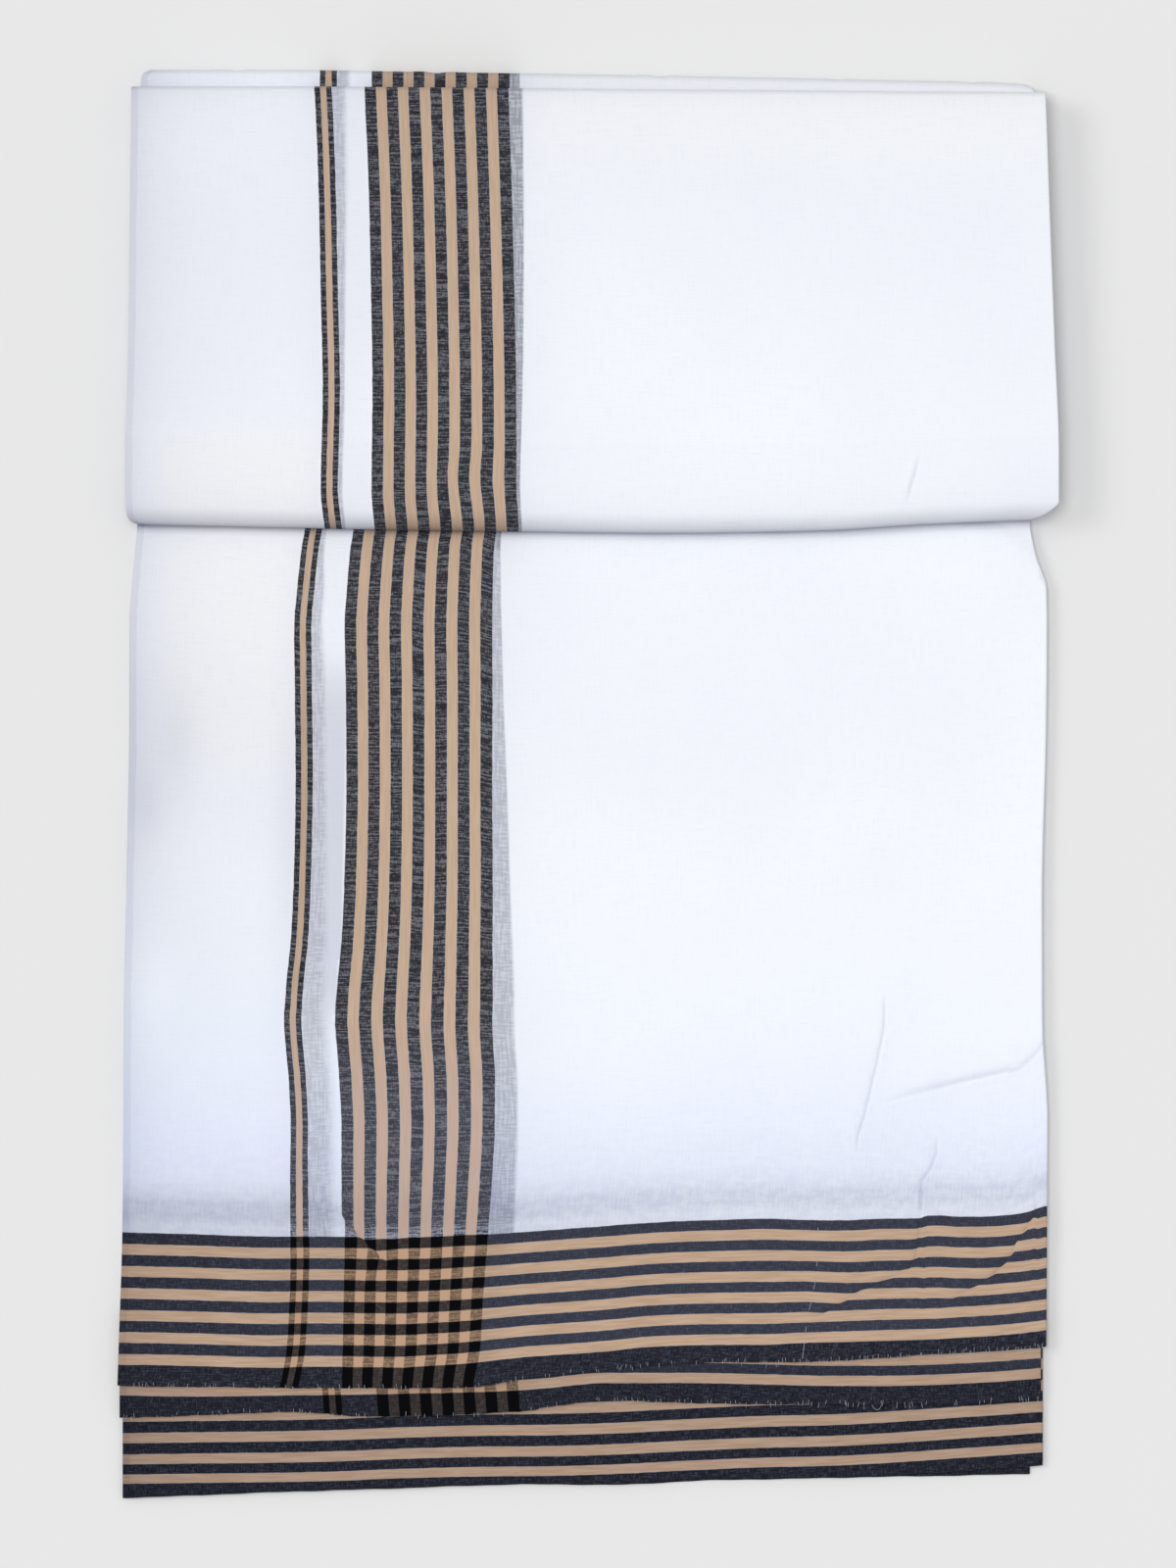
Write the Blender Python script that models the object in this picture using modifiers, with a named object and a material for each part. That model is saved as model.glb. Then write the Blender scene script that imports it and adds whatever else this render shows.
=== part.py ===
"""A dhoti: one woven cotton cloth, 3.80 m by 1.27 m, folded flat for the shelf.

The cloth is folded to four plies across its width, then in half and in half again along its length, which
gives a stack of four lengths, 0.95 m long. The stack is then folded like a letter at its far end, into a block
that lies on the rest of it. +X runs across the folded cloth, +Y runs up to the block and +Z is up. The origin
is under the middle of its box. Sizes are in millimetres until the points are placed.
"""

import math
from collections import namedtuple

import bmesh
import bpy
import numpy as np

MM = 0.001

# Heights. A length is the cloth folded to four plies.
LENGTH_THICK = 1.0
GAP = 0.3
STEP = LENGTH_THICK + GAP
SECOND_END_LOW = 2 * STEP
FRONT_END_LOW = 3 * STEP
BLOCK_LOW = 4 * STEP
BACK_FOLD_HIGH = 8.8
TOP_FOLD_LOW = BACK_FOLD_HIGH + GAP
BLOCK_HIGH = 17.5
BASE_HIGH = FRONT_END_LOW - GAP

# How deep each fold's round nose is, seen from above, and how far its sheet runs on where it is hidden
BOTTOM_FOLD_DEPTH = 7.0
TOP_FOLD_DEPTH = 2.2
BACK_FOLD_DEPTH = 2.5
TUCK = 10.0
PANEL_TUCK = 9.0
HIDDEN_FRONT = -182.0

# The hidden layers show as steps at the sides
BLOCK_LAYERS = 9
GROOVE = 0.28
GROOVE_DEEP = 1.5
LAYER_INSET = 0.5
LAYER_STRAY = 1.1

# The folds of the block, seen from above, from the left to the right
FoldRow = namedtuple("FoldRow", "x back top bottom")
FOLD_LINES = (
    FoldRow(-158.0, 246.1, 240.2, 90.6),
    FoldRow(-101.0, 246.1, 240.2, 88.8),
    FoldRow(-67.0, 245.6, 240.0, 88.1),
    FoldRow(0.0, 244.6, 239.4, 87.5),
    FoldRow(29.0, 244.1, 239.1, 86.7),
    FoldRow(70.0, 243.3, 238.8, 88.1),
    FoldRow(115.0, 242.4, 238.5, 90.2),
    FoldRow(148.0, 241.4, 238.3, 91.2),
    FoldRow(158.0, 239.2, 238.2, 91.3),
)

# The two raw ends and the two leaves of the fold at the cloth's middle
EndRow = namedtuple("EndRow", "x first second upper lower")
END_LINES = (
    EndRow(-162.0, -207.3, -217.1, -246.1, -246.1),
    EndRow(-101.0, -208.0, -216.4, -243.8, -243.9),
    EndRow(-74.0, -208.1, -218.0, -242.9, -243.0),
    EndRow(-40.0, -208.0, -217.1, -241.7, -241.9),
    EndRow(-20.0, -204.7, -216.2, -241.1, -241.4),
    EndRow(10.0, -201.6, -212.4, -241.2, -241.5),
    EndRow(40.0, -199.3, -213.4, -239.2, -240.1),
    EndRow(77.0, -199.0, -213.7, -238.9, -239.3),
    EndRow(120.0, -196.3, -213.6, -237.4, -238.5),
    EndRow(158.0, -193.8, -212.2, -234.6, -237.6),
)

# The sides of the long stretch, from the block down to the first raw end
SideRow = namedtuple("SideRow", "y left right")
PANEL_SIDES = (
    SideRow(-208.0, -162.1, 157.6),
    SideRow(-193.0, -161.6, 157.8),
    SideRow(-150.0, -160.3, 158.1),
    SideRow(-116.0, -160.0, 158.3),
    SideRow(-81.0, -159.8, 156.5),
    SideRow(-38.0, -159.0, 156.4),
    SideRow(20.0, -158.0, 157.8),
    SideRow(55.0, -157.9, 158.1),
    SideRow(67.0, -157.1, 157.9),
    SideRow(79.0, -156.1, 154.2),
    SideRow(90.0, -155.2, 152.2),
    SideRow(100.0, -155.2, 152.2),
)

# The sides of the block, by how far above its bottom fold they are: its corners are rounded off
BLOCK_SIDES = (
    SideRow(0.0, -154.6, 151.3),
    SideRow(1.6, -157.8, 156.0),
    SideRow(3.6, -158.8, 159.4),
    SideRow(6.4, -159.0, 162.1),
    SideRow(22.0, -159.2, 162.1),
    SideRow(62.0, -158.2, 160.6),
    SideRow(110.0, -157.6, 158.8),
    SideRow(150.0, -157.1, 157.4),
)

# The sides of the fold behind the block, by how far in front of its nose they are
BACK_SIDES = (
    SideRow(0.0, -150.8, 150.8),
    SideRow(1.0, -153.0, 153.0),
    SideRow(3.0, -153.9, 154.3),
    SideRow(6.0, -154.2, 154.7),
)

# The strips that show below the first raw end keep one width
SECOND_END_SIDES = (SideRow(0.0, -161.5, 156.1),)
MID_UPPER_SIDES = (SideRow(0.0, -160.3, 156.6),)
MID_LOWER_SIDES = (SideRow(0.0, -160.3, 152.2),)

# The long stretch's largest creases are soft ridges, each along a line
CreaseRow = namedtuple("CreaseRow", "x0 y0 x1 y1 high wide")
CREASES = (
    CreaseRow(157.0, -91.0, 100.0, -111.0, 0.8, 9.0),
    CreaseRow(102.0, -72.0, 94.0, -122.0, 0.5, 8.0),
    CreaseRow(115.0, -150.0, 81.0, -182.0, 0.8, 9.0),
    CreaseRow(154.0, -149.0, 126.0, -178.0, 0.8, 9.0),
    CreaseRow(-84.0, -20.0, -88.0, -100.0, 0.4, 14.0),
    CreaseRow(-60.0, 30.0, 60.0, 10.0, 0.4, 22.0),
)
CREASE_FADE = 25.0

COTTON_WHITE = (0.90, 0.91, 0.95)
BORDER_MIX = (0.36, 0.30, 0.26)
COTTON_ROUGHNESS = 0.85


def start_clean():
    """An empty scene, with a collection for the cloth and one for the solids that only help to make it."""
    for old in list(bpy.data.objects):
        bpy.data.objects.remove(old, do_unlink=True)
    found = []
    for name in ("folded_dhoti", "helpers"):
        collection = bpy.data.collections.new(name)
        bpy.context.scene.collection.children.link(collection)
        found.append(collection)
    return found


def read(rows, column, at, key):
    """A table's column where its key column has the value at, eased between the rows without overshoot."""
    keys = np.array([getattr(row, key) for row in rows])
    values = np.array([getattr(row, column) for row in rows])
    if len(rows) == 1:
        return float(values[0])
    rise = np.diff(values) / np.diff(keys)
    same_way = rise[1:] * rise[:-1] > 0
    inner = np.where(same_way, 2 * rise[1:] * rise[:-1] / np.where(same_way, rise[1:] + rise[:-1], 1), 0)
    slopes = np.concatenate(([rise[0]], inner, [rise[-1]]))
    at = float(np.clip(at, keys[0], keys[-1]))
    i = int(np.clip(np.searchsorted(keys, at) - 1, 0, len(keys) - 2))
    span = keys[i + 1] - keys[i]
    t = (at - keys[i]) / span
    held = (1 + 2 * t) * (1 - t) ** 2 * values[i] + t * t * (3 - 2 * t) * values[i + 1]
    lean = t * (1 - t) ** 2 * slopes[i] + t * t * (t - 1) * slopes[i + 1]
    return float(held + span * lean)


def fold_line(name, x):
    return read(FOLD_LINES, name, x, "x")


def end_line(name, x):
    return read(END_LINES, name, x, "x")


def across(sides, u, y, inset=0.0):
    """The x of a point that lies the share u of the way across, between a stretch's two sides."""
    left = read(sides, "left", y, "y") + inset
    right = read(sides, "right", y, "y") - inset
    return left + u * (right - left)


def steps(count):
    """Shares from 0 to 1, closer together near both ends."""
    return [0.5 - 0.5 * math.cos(math.pi * i / count) for i in range(count + 1)]


def nose(low, high, depth, count, upward):
    """Shift and height of the points round a fold, half an ellipse from one face to the other."""
    half = (high - low) / 2
    points = []
    for i in range(count + 1):
        turn = math.pi * i / count
        z = low + half - math.cos(turn) * half
        points.append((depth * math.sin(turn), z))
    return points if upward else points[::-1]


def swell(x, y):
    """How far the creases lift the long stretch. They fade out towards the block, which presses on it."""
    lift = 0.0
    for row in CREASES:
        start = np.array((row.x0, row.y0))
        along = np.array((row.x1, row.y1)) - start
        t = np.clip(np.dot((x, y) - start, along) / np.dot(along, along), 0, 1)
        away = np.linalg.norm(start + t * along - (x, y))
        lift = max(lift, row.high * math.exp(-((away / row.wide) ** 2)))
    clear = np.clip((fold_line("bottom", x) - y) / CREASE_FADE, 0, 1)
    return lift * float(clear * clear * (3 - 2 * clear))


def cotton(name, colour):
    material = bpy.data.materials.new(name)
    material.use_nodes = True
    shader = material.node_tree.nodes["Principled BSDF"]
    shader.inputs["Base Color"].default_value = (*colour, 1)
    shader.inputs["Roughness"].default_value = COTTON_ROUGHNESS
    material.diffuse_color = (*colour, 1)
    return material


def finish(name, bm, colour, collection):
    mesh = bpy.data.meshes.new(name)
    bm.to_mesh(mesh)
    bm.free()
    mesh.materials.append(cotton(name, colour))
    made = bpy.data.objects.new(name, mesh)
    collection.objects.link(made)
    return made


def sheet(name, place, columns, rows, colour, collection):
    """A wall of cloth: a grid whose points place() puts on the outer face, made thick inwards."""
    wide, long = len(columns) - 1, len(rows) - 1
    bm = bmesh.new()
    bmesh.ops.create_grid(bm, x_segments=wide, y_segments=long, size=0.5)
    for vert in bm.verts:
        column = columns[round((vert.co.x + 0.5) * wide)]
        row = rows[round((vert.co.y + 0.5) * long)]
        vert.co = [value * MM for value in place(column, row)]
    made = finish(name, bm, colour, collection)
    wall = made.modifiers.new("cloth thickness", "SOLIDIFY")
    wall.thickness = LENGTH_THICK * MM
    wall.offset = -1
    wall.use_even_offset = True
    made.data.shade_smooth()
    return made


def soften(made, width, segments):
    """Rounds a sheet's rim."""
    bevel = made.modifiers.new("rounded rim", "BEVEL")
    bevel.width = width * MM
    bevel.segments = segments
    bevel.limit_method = "ANGLE"
    bevel.angle_limit = math.radians(50)


def front_end(collection):
    """The long stretch, from just under the block down to the first raw end."""

    def place(u, v):
        x = across(PANEL_SIDES, u, 0.0)
        low = end_line("first", x)
        high = fold_line("bottom", x) + PANEL_TUCK
        y = low + v * (high - low)
        x = across(PANEL_SIDES, u, y)
        return x, y, FRONT_END_LOW + LENGTH_THICK + swell(x, y)

    return sheet("front_end", place, steps(22), steps(26), COTTON_WHITE, collection)


def end_strip(name, line, sides, low, colour, collection):
    """A stretch that shows as a strip below the first raw end and runs on under it."""

    def place(u, v):
        x = across(sides, u, 0.0)
        near = end_line(line, x)
        far = HIDDEN_FRONT - GAP
        return x, near + v * (far - near), low + LENGTH_THICK

    made = sheet(name, place, steps(20), steps(3), colour, collection)
    soften(made, 0.3, 2)
    return made


def block_front(collection):
    """The block's outer stretch: from under its bottom fold, over its top and round its top fold."""
    rows = [(0.0, BOTTOM_FOLD_DEPTH + TUCK, BLOCK_LOW)]
    for out, z in nose(BLOCK_LOW, BLOCK_HIGH, BOTTOM_FOLD_DEPTH, 10, upward=True):
        rows.append((0.0, BOTTOM_FOLD_DEPTH - out, z))
    for share in steps(8)[1:-1]:
        shift = BOTTOM_FOLD_DEPTH * (1 - share) - TOP_FOLD_DEPTH * share
        rows.append((share, shift, BLOCK_HIGH))
    for out, z in nose(TOP_FOLD_LOW, BLOCK_HIGH, TOP_FOLD_DEPTH, 8, upward=False):
        rows.append((1.0, out - TOP_FOLD_DEPTH, z))
    rows.append((1.0, -TOP_FOLD_DEPTH - TUCK, TOP_FOLD_LOW))

    def place(u, row):
        share, shift, z = row
        x = across(BLOCK_SIDES, u, 60.0)
        bottom = fold_line("bottom", x)
        above = share * (fold_line("top", x) - bottom) + shift
        return across(BLOCK_SIDES, u, above), bottom + above, z

    return sheet("block_front", place, steps(20), rows, COTTON_WHITE, collection)


def back_fold(collection):
    """The fold behind the block, from under the block's top fold round to the surface it lies on."""
    rows = [(BACK_FOLD_DEPTH + TUCK, BACK_FOLD_HIGH)]
    for out, z in nose(0.0, BACK_FOLD_HIGH, BACK_FOLD_DEPTH, 8, upward=False):
        rows.append((BACK_FOLD_DEPTH - out, z))
    rows.append((BACK_FOLD_DEPTH + TUCK, 0.0))

    def place(u, row):
        inside, z = row
        x = across(BACK_SIDES, u, inside)
        return x, fold_line("back", x) - inside, z

    return sheet("back_fold", place, steps(18), rows, COTTON_WHITE, collection)


def inner_nose(z, low, high, depth):
    """How far the layers inside a fold reach into its nose at height z."""
    half = (high - low) / 2
    level = (z - low - half) / (half - STEP)
    return (depth - STEP) * math.sqrt(max(0.0, 1 - level * level))


def core_back(z, x):
    """How far back the hidden layers reach at height z: inside both folds, and clear of their sheets."""
    back = fold_line("back", x) - BACK_FOLD_DEPTH
    top = fold_line("top", x) - TOP_FOLD_DEPTH
    if z <= LENGTH_THICK:
        return back - TUCK - GAP
    if z <= BACK_FOLD_HIGH - STEP:
        return back + inner_nose(z, 0.0, BACK_FOLD_HIGH, BACK_FOLD_DEPTH)
    if z < TOP_FOLD_LOW + STEP:
        return min(back, top) - TUCK - GAP
    return top + inner_nose(z, TOP_FOLD_LOW, BLOCK_HIGH, TOP_FOLD_DEPTH)


def core_front(z, x):
    """How far forward the hidden layers reach at height z."""
    if z <= BASE_HIGH:
        return HIDDEN_FRONT
    bottom = fold_line("bottom", x) + BOTTOM_FOLD_DEPTH
    if z < BLOCK_LOW + STEP:
        return bottom + TUCK + GAP
    return bottom - inner_nose(z, BLOCK_LOW, BLOCK_HIGH, BOTTOM_FOLD_DEPTH)


def core_ring(z, layer, sides, from_fold, inset, wide, long):
    """The outline of one hidden layer at height z, anticlockwise from its front left corner.
    from_fold says that the sides are given by how far above the block's bottom fold they are."""
    points = []

    def corner(u, y):
        at = y - fold_line("bottom", 0.0) if from_fold else y
        points.append((across(sides, u, at, inset), y, z))

    shares = [i / wide for i in range(wide + 1)]
    walk = [i / long for i in range(long + 1)]
    middle = [across(sides, u, 60.0, inset) for u in shares]
    front = [max(core_front(at, x) for at in layer) + inset for x in middle]
    back = [min(core_back(at, x) for at in layer) - inset for x in middle]
    for u, y in list(zip(shares, front))[:-1]:
        corner(u, y)
    for v in walk[:-1]:
        corner(1.0, front[-1] + v * (back[-1] - front[-1]))
    for u, y in list(zip(shares, back))[:0:-1]:
        corner(u, y)
    for v in walk[:0:-1]:
        corner(0.0, front[0] + v * (back[0] - front[0]))
    return points


def stacked(name, layers, sides, from_fold, root, wide, long, collection):
    """Layers with a groove between each two, as one closed solid: rings of points, bridged in order.
    A root reaches down from the first layer by that much, into what the layers are joined to."""
    deep = LAYER_INSET + LAYER_STRAY + GROOVE_DEEP
    rings = []
    if root:
        rings.append((layers[0][0] - root, layers[0], deep + GAP))
        rings.append((layers[0][0], layers[0], deep + GAP))
    for i, layer in enumerate(layers):
        low, high = layer
        inset = LAYER_INSET + LAYER_STRAY * (0.5 + 0.5 * math.sin(2.4 * i + 1))
        if i:
            rings.append((low, layer, deep))
        rings.append((low, layer, inset))
        rings.append((high, layer, inset))
        if i < len(layers) - 1:
            rings.append((high, layer, deep))
    bm = bmesh.new()
    loops = []
    for z, layer, inset in rings:
        outline = core_ring(z, layer, sides, from_fold, inset, wide, long)
        loops.append([bm.verts.new([value * MM for value in point]) for point in outline])
    count = len(loops[0])
    for lower, upper in zip(loops, loops[1:]):
        for i in range(count):
            j = (i + 1) % count
            bm.faces.new((lower[i], lower[j], upper[j], upper[i]))
    bm.faces.new(loops[0][::-1])
    bm.faces.new(loops[-1])
    return finish(name, bm, COTTON_WHITE, collection)


def hidden_layers(collection, helpers):
    """All layers that don't show, as one solid: the flat stack, joined to the layers inside the block."""
    base = [(i * STEP, i * STEP + LENGTH_THICK) for i in range(3)]
    low = BLOCK_LOW + STEP
    pitch = (BLOCK_HIGH - STEP - low + GROOVE) / BLOCK_LAYERS
    block = [(i * STEP, i * STEP + LENGTH_THICK) for i in (3, 4)]
    block += [(low + i * pitch, low + (i + 1) * pitch - GROOVE) for i in range(BLOCK_LAYERS)]
    core = stacked("hidden_layers", base, PANEL_SIDES, False, 0.0, 14, 18, collection)
    inner = stacked("block_layers", block, BLOCK_SIDES, True, 3 * GAP, 10, 8, helpers)
    inner.hide_render = True
    inner.display_type = "WIRE"
    join = core.modifiers.new("block layers", "BOOLEAN")
    join.operation = "UNION"
    join.solver = "EXACT"
    join.object = inner
    return core


def build():
    cloth, helpers = start_clean()
    hidden_layers(cloth, helpers)
    front_end(cloth)
    end_strip("second_end", "second", SECOND_END_SIDES, SECOND_END_LOW, BORDER_MIX, cloth)
    end_strip("mid_fold_upper", "upper", MID_UPPER_SIDES, STEP, BORDER_MIX, cloth)
    end_strip("mid_fold_lower", "lower", MID_LOWER_SIDES, 0.0, BORDER_MIX, cloth)
    block_front(cloth)
    back_fold(cloth)


build()
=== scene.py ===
"""A dhoti of fine white cotton with black and tan borders, folded flat for the shelf.

One woven cloth, 3.80 m by 1.27 m, is folded to four plies and laid in a stack of four lengths. The stack's
far end is folded like a letter into a block. +X runs across, +Y runs up to the block and +Z is up. Sizes are
in millimetres until the points are placed.
"""

import math
from collections import namedtuple
from functools import partial

import bmesh
import bpy
import numpy as np
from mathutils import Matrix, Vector


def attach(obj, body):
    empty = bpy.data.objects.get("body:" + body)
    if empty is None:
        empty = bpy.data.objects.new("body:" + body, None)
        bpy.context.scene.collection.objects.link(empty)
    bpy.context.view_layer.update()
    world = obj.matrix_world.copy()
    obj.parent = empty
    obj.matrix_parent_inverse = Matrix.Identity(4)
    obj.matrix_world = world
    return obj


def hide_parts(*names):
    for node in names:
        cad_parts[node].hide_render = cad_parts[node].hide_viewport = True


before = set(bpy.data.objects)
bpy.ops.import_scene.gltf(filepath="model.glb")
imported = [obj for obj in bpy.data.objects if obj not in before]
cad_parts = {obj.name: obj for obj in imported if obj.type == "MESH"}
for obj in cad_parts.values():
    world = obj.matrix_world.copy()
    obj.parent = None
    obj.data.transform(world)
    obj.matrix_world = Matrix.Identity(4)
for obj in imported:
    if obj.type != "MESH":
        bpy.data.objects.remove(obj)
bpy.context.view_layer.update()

MM = 0.001


def table(columns, *rows):
    """The rows of a table, with its columns named."""
    Row = namedtuple("Row", columns)
    return tuple(Row(*row) for row in rows)


# ---------------------------------------------------------------- heights, as the solids have them
LENGTH_THICK = 1.0
GAP = 0.3
STEP = LENGTH_THICK + GAP
PLIES = 4
SECOND_END_LOW = 2 * STEP
FRONT_END_LOW = 3 * STEP
BLOCK_LOW = 4 * STEP
BACK_FOLD_HIGH = 8.8
TOP_FOLD_LOW = BACK_FOLD_HIGH + GAP
BLOCK_HIGH = 17.5
# The bottom fold stands out furthest at this share of its height
FOLD_BELLY = 0.1
# How dark the painted shadow is on the cloth right at the fold that lies on it
FOLD_SHADE = 0.38
# How far the folds stand out, and how far the sheets run on beyond their folds and under the block
BOTTOM_FOLD_DEPTH = 7.0
TOP_FOLD_DEPTH = 2.2
BACK_FOLD_DEPTH = 2.5
TUCK = 10.0
PANEL_TUCK = 9.0
# Where the hidden layers begin, and where the strips that show run on to, just before them
HIDDEN_FRONT = -182.15
STRIPS_TO = HIDDEN_FRONT - 0.03

# Heights of the lengths inside the block, from the lowest: three runs of four lengths
RUN_HEIGHTS = table(
    "length first_run last_run middle_run",
    ("front", (5.2, 6.2), (16.5, 17.5), (9.1, 10.1)),
    ("second", (6.25, 7.0), (15.4, 16.4), (10.15, 11.15)),
    ("upper", (7.05, 7.75), (14.35, 15.35), (11.2, 12.2)),
    ("lower", (7.8, 8.8), (13.3, 14.3), (12.25, 13.25)),
)

# How far each length reaches into the round folds, from their lines: its base and first runs into the back
# fold, its last and middle runs into the top fold, and its middle run towards the bottom fold. A run that the
# outer sheet takes over from ends short of that sheet. bend is how far out its own bottom fold stands
REACHES = table(
    "length base first last middle near bend",
    ("front", -1.3, -1.6, 0.0, -12.6, 9.3, 0.0),
    ("second", -1.5, -1.8, -2.6, -2.4, 8.3, 4.8),
    ("upper", -2.2, -2.7, -1.8, -1.6, 8.0, 3.8),
    ("lower", -12.8, -12.8, -1.4, -1.4, 8.9, 2.8),
)

# ---------------------------------------------------------------- outlines, seen from above
FOLD_LINES = table(
    "x back top bottom",
    (-158.0, 246.1, 240.2, 89.3),
    (-148.8, 246.1, 240.2, 89.1),
    (-101.0, 246.1, 240.2, 88.2),
    (-67.0, 245.6, 240.0, 87.5),
    (-13.6, 244.8, 239.5, 86.8),
    (33.7, 244.0, 239.1, 86.4),
    (60.8, 243.5, 238.9, 86.7),
    (87.8, 242.9, 238.7, 87.3),
    (121.6, 242.2, 238.4, 89.3),
    (148.0, 241.4, 238.3, 90.4),
    (158.0, 239.2, 238.2, 90.7),
)

END_LINES = table(
    "x first second upper lower",
    (-162.0, -207.3, -218.2, -246.1, -246.1),
    (-148.0, -207.5, -218.1, -245.6, -245.6),
    (-135.0, -207.6, -217.5, -245.1, -245.1),
    (-118.0, -207.8, -216.8, -244.4, -244.5),
    (-101.0, -208.0, -216.4, -243.8, -243.9),
    (-74.0, -208.1, -218.0, -242.9, -243.0),
    (-40.0, -208.0, -217.1, -241.7, -241.9),
    (-20.0, -204.7, -215.8, -241.1, -241.4),
    (-13.6, -203.9, -214.5, -241.1, -241.4),
    (10.0, -201.6, -212.4, -241.2, -241.5),
    (40.0, -199.3, -213.4, -239.2, -240.1),
    (77.0, -199.0, -213.7, -238.9, -239.3),
    (120.0, -196.3, -213.6, -237.4, -238.5),
    (158.0, -193.8, -212.2, -234.6, -237.6),
)

# How uneven those lines are: the seed, the wave lengths and the size
UNEVEN_ENDS = {
    "first": (11, (41.0, 17.0, 6.3, 2.9), 0.32),
    "second": (12, (37.0, 15.0, 5.7, 2.6), 0.32),
    "upper": (13, (70.0, 31.0, 13.0), 0.2),
    "lower": (13, (70.0, 31.0, 13.0), 0.2),
}

PANEL_SIDES = table(
    "y left right",
    (-208.0, -162.1, 157.6),
    (-193.0, -161.6, 157.8),
    (-150.0, -160.3, 158.1),
    (-116.0, -160.0, 158.3),
    (-81.0, -159.8, 156.5),
    (-38.0, -159.0, 156.4),
    (20.0, -158.0, 157.8),
    (55.0, -157.9, 158.1),
    (67.0, -157.1, 157.9),
    (79.0, -156.1, 154.2),
    (90.0, -155.2, 152.2),
    (100.0, -155.2, 152.2),
)
BLOCK_SIDES = table(
    "y left right",
    (0.0, -154.6, 151.3),
    (1.6, -157.8, 156.0),
    (3.6, -158.8, 159.4),
    (6.4, -159.0, 162.1),
    (22.0, -159.2, 162.1),
    (62.0, -158.2, 160.6),
    (110.0, -157.6, 158.8),
    (150.0, -157.1, 157.4),
)
BACK_SIDES = table(
    "y left right",
    (0.0, -150.8, 150.8),
    (1.0, -153.0, 153.0),
    (3.0, -153.9, 154.3),
    (6.0, -154.2, 154.7),
)
SECOND_END_SIDES = table("y left right", (0.0, -161.5, 156.1))
MID_UPPER_SIDES = table("y left right", (0.0, -160.3, 156.6))
MID_LOWER_SIDES = table("y left right", (0.0, -160.3, 152.2))

# ---------------------------------------------------------------- the woven borders
# Warp borders: a narrow one of three stripes and a wide one of thirteen, black first and last
NARROW_WIDE = 6.0
NARROW_SPREAD = 0.07
WARP_PERIOD = 7.6
WIDE_STRIPES = 13
WIDE_WIDE = WIDE_STRIPES * WARP_PERIOD / 2
BETWEEN = 12.2
WARP_SPREAD = 0.02
# Weft border: a broad black stripe at the raw end, then six tan and six black ones
WEFT_DEEP = 52.6
WEFT_PERIOD = 7.61
END_STRIPE = 6.95
SECOND_SCALE = 1.087

# Where the warp borders lie, and how far the borders of the ply below show grey beside them
PANEL_WARP = table(
    "y narrow wide_left wide_right narrow_shade wide_shade",
    (-207.3, -106.2, -84.6, -39.6, 0.0, 0.0),
    (-204.6, -105.6, -84.6, -39.2, 0.0, 0.0),
    (-194.8, -103.9, -84.4, -37.3, 0.0, 0.0),
    (-181.9, -103.1, -84.2, -36.6, 0.0, 0.0),
    (-165.7, -102.6, -84.2, -35.4, 0.0, 0.0),
    (-156.2, -102.6, -84.5, -34.6, 9.0, 9.0),
    (-147.1, -102.7, -84.8, -33.9, 9.5, 8.8),
    (-135.3, -102.7, -84.9, -33.1, 9.0, 8.4),
    (-118.4, -102.5, -84.9, -32.2, 9.1, 8.0),
    (-101.5, -103.2, -85.7, -32.1, 9.1, 7.8),
    (-94.0, -103.9, -86.2, -32.5, 9.2, 7.7),
    (-87.0, -104.5, -86.8, -32.9, 9.2, 7.6),
    (-81.2, -104.8, -87.1, -33.0, 9.0, 7.6),
    (-76.0, -104.5, -86.9, -32.9, 8.6, 7.5),
    (-67.7, -103.9, -86.2, -32.9, 8.0, 7.4),
    (-54.2, -102.5, -84.9, -33.0, 7.2, 6.9),
    (-33.9, -101.5, -83.9, -32.9, 6.0, 6.1),
    (-0.1, -100.8, -83.2, -33.1, 5.0, 5.2),
    (33.7, -101.1, -83.4, -33.0, 4.8, 3.8),
    (54.0, -101.3, -83.8, -33.1, 3.9, 3.4),
    (67.6, -100.2, -83.0, -32.9, 3.6, 2.9),
    (81.0, -98.8, -81.8, -32.5, 2.1, 2.4),
    (89.5, -97.3, -80.4, -31.3, 1.7, 1.8),
)
BLOCK_WARP = table(
    "y narrow wide_left wide_right narrow_shade wide_shade",
    (87.8, -90.7, -73.4, -24.1, 1.4, 1.4),
    (101.3, -92.0, -74.4, -24.6, 1.6, 1.3),
    (135.1, -91.3, -74.1, -24.8, 1.7, 2.3),
    (168.9, -92.0, -74.6, -25.4, 2.7, 3.3),
    (202.7, -92.7, -75.3, -26.3, 3.8, 4.2),
    (236.5, -94.0, -76.7, -27.4, 4.8, 5.0),
    (239.2, -94.2, -76.8, -27.5, 4.9, 5.1),
)
BACK_WARP = table(
    "y narrow wide_left wide_right narrow_shade wide_shade",
    (0.0, -92.4, -74.4, -27.1, 4.4, 3.6),
)
SECOND_WARP = table(
    "y narrow wide_left wide_right narrow_shade wide_shade",
    (-217.0, -91.0, -72.2, -23.4, 0.0, 0.0),
    (-207.0, -91.8, -73.6, -25.0, 0.0, 0.0),
)

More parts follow.
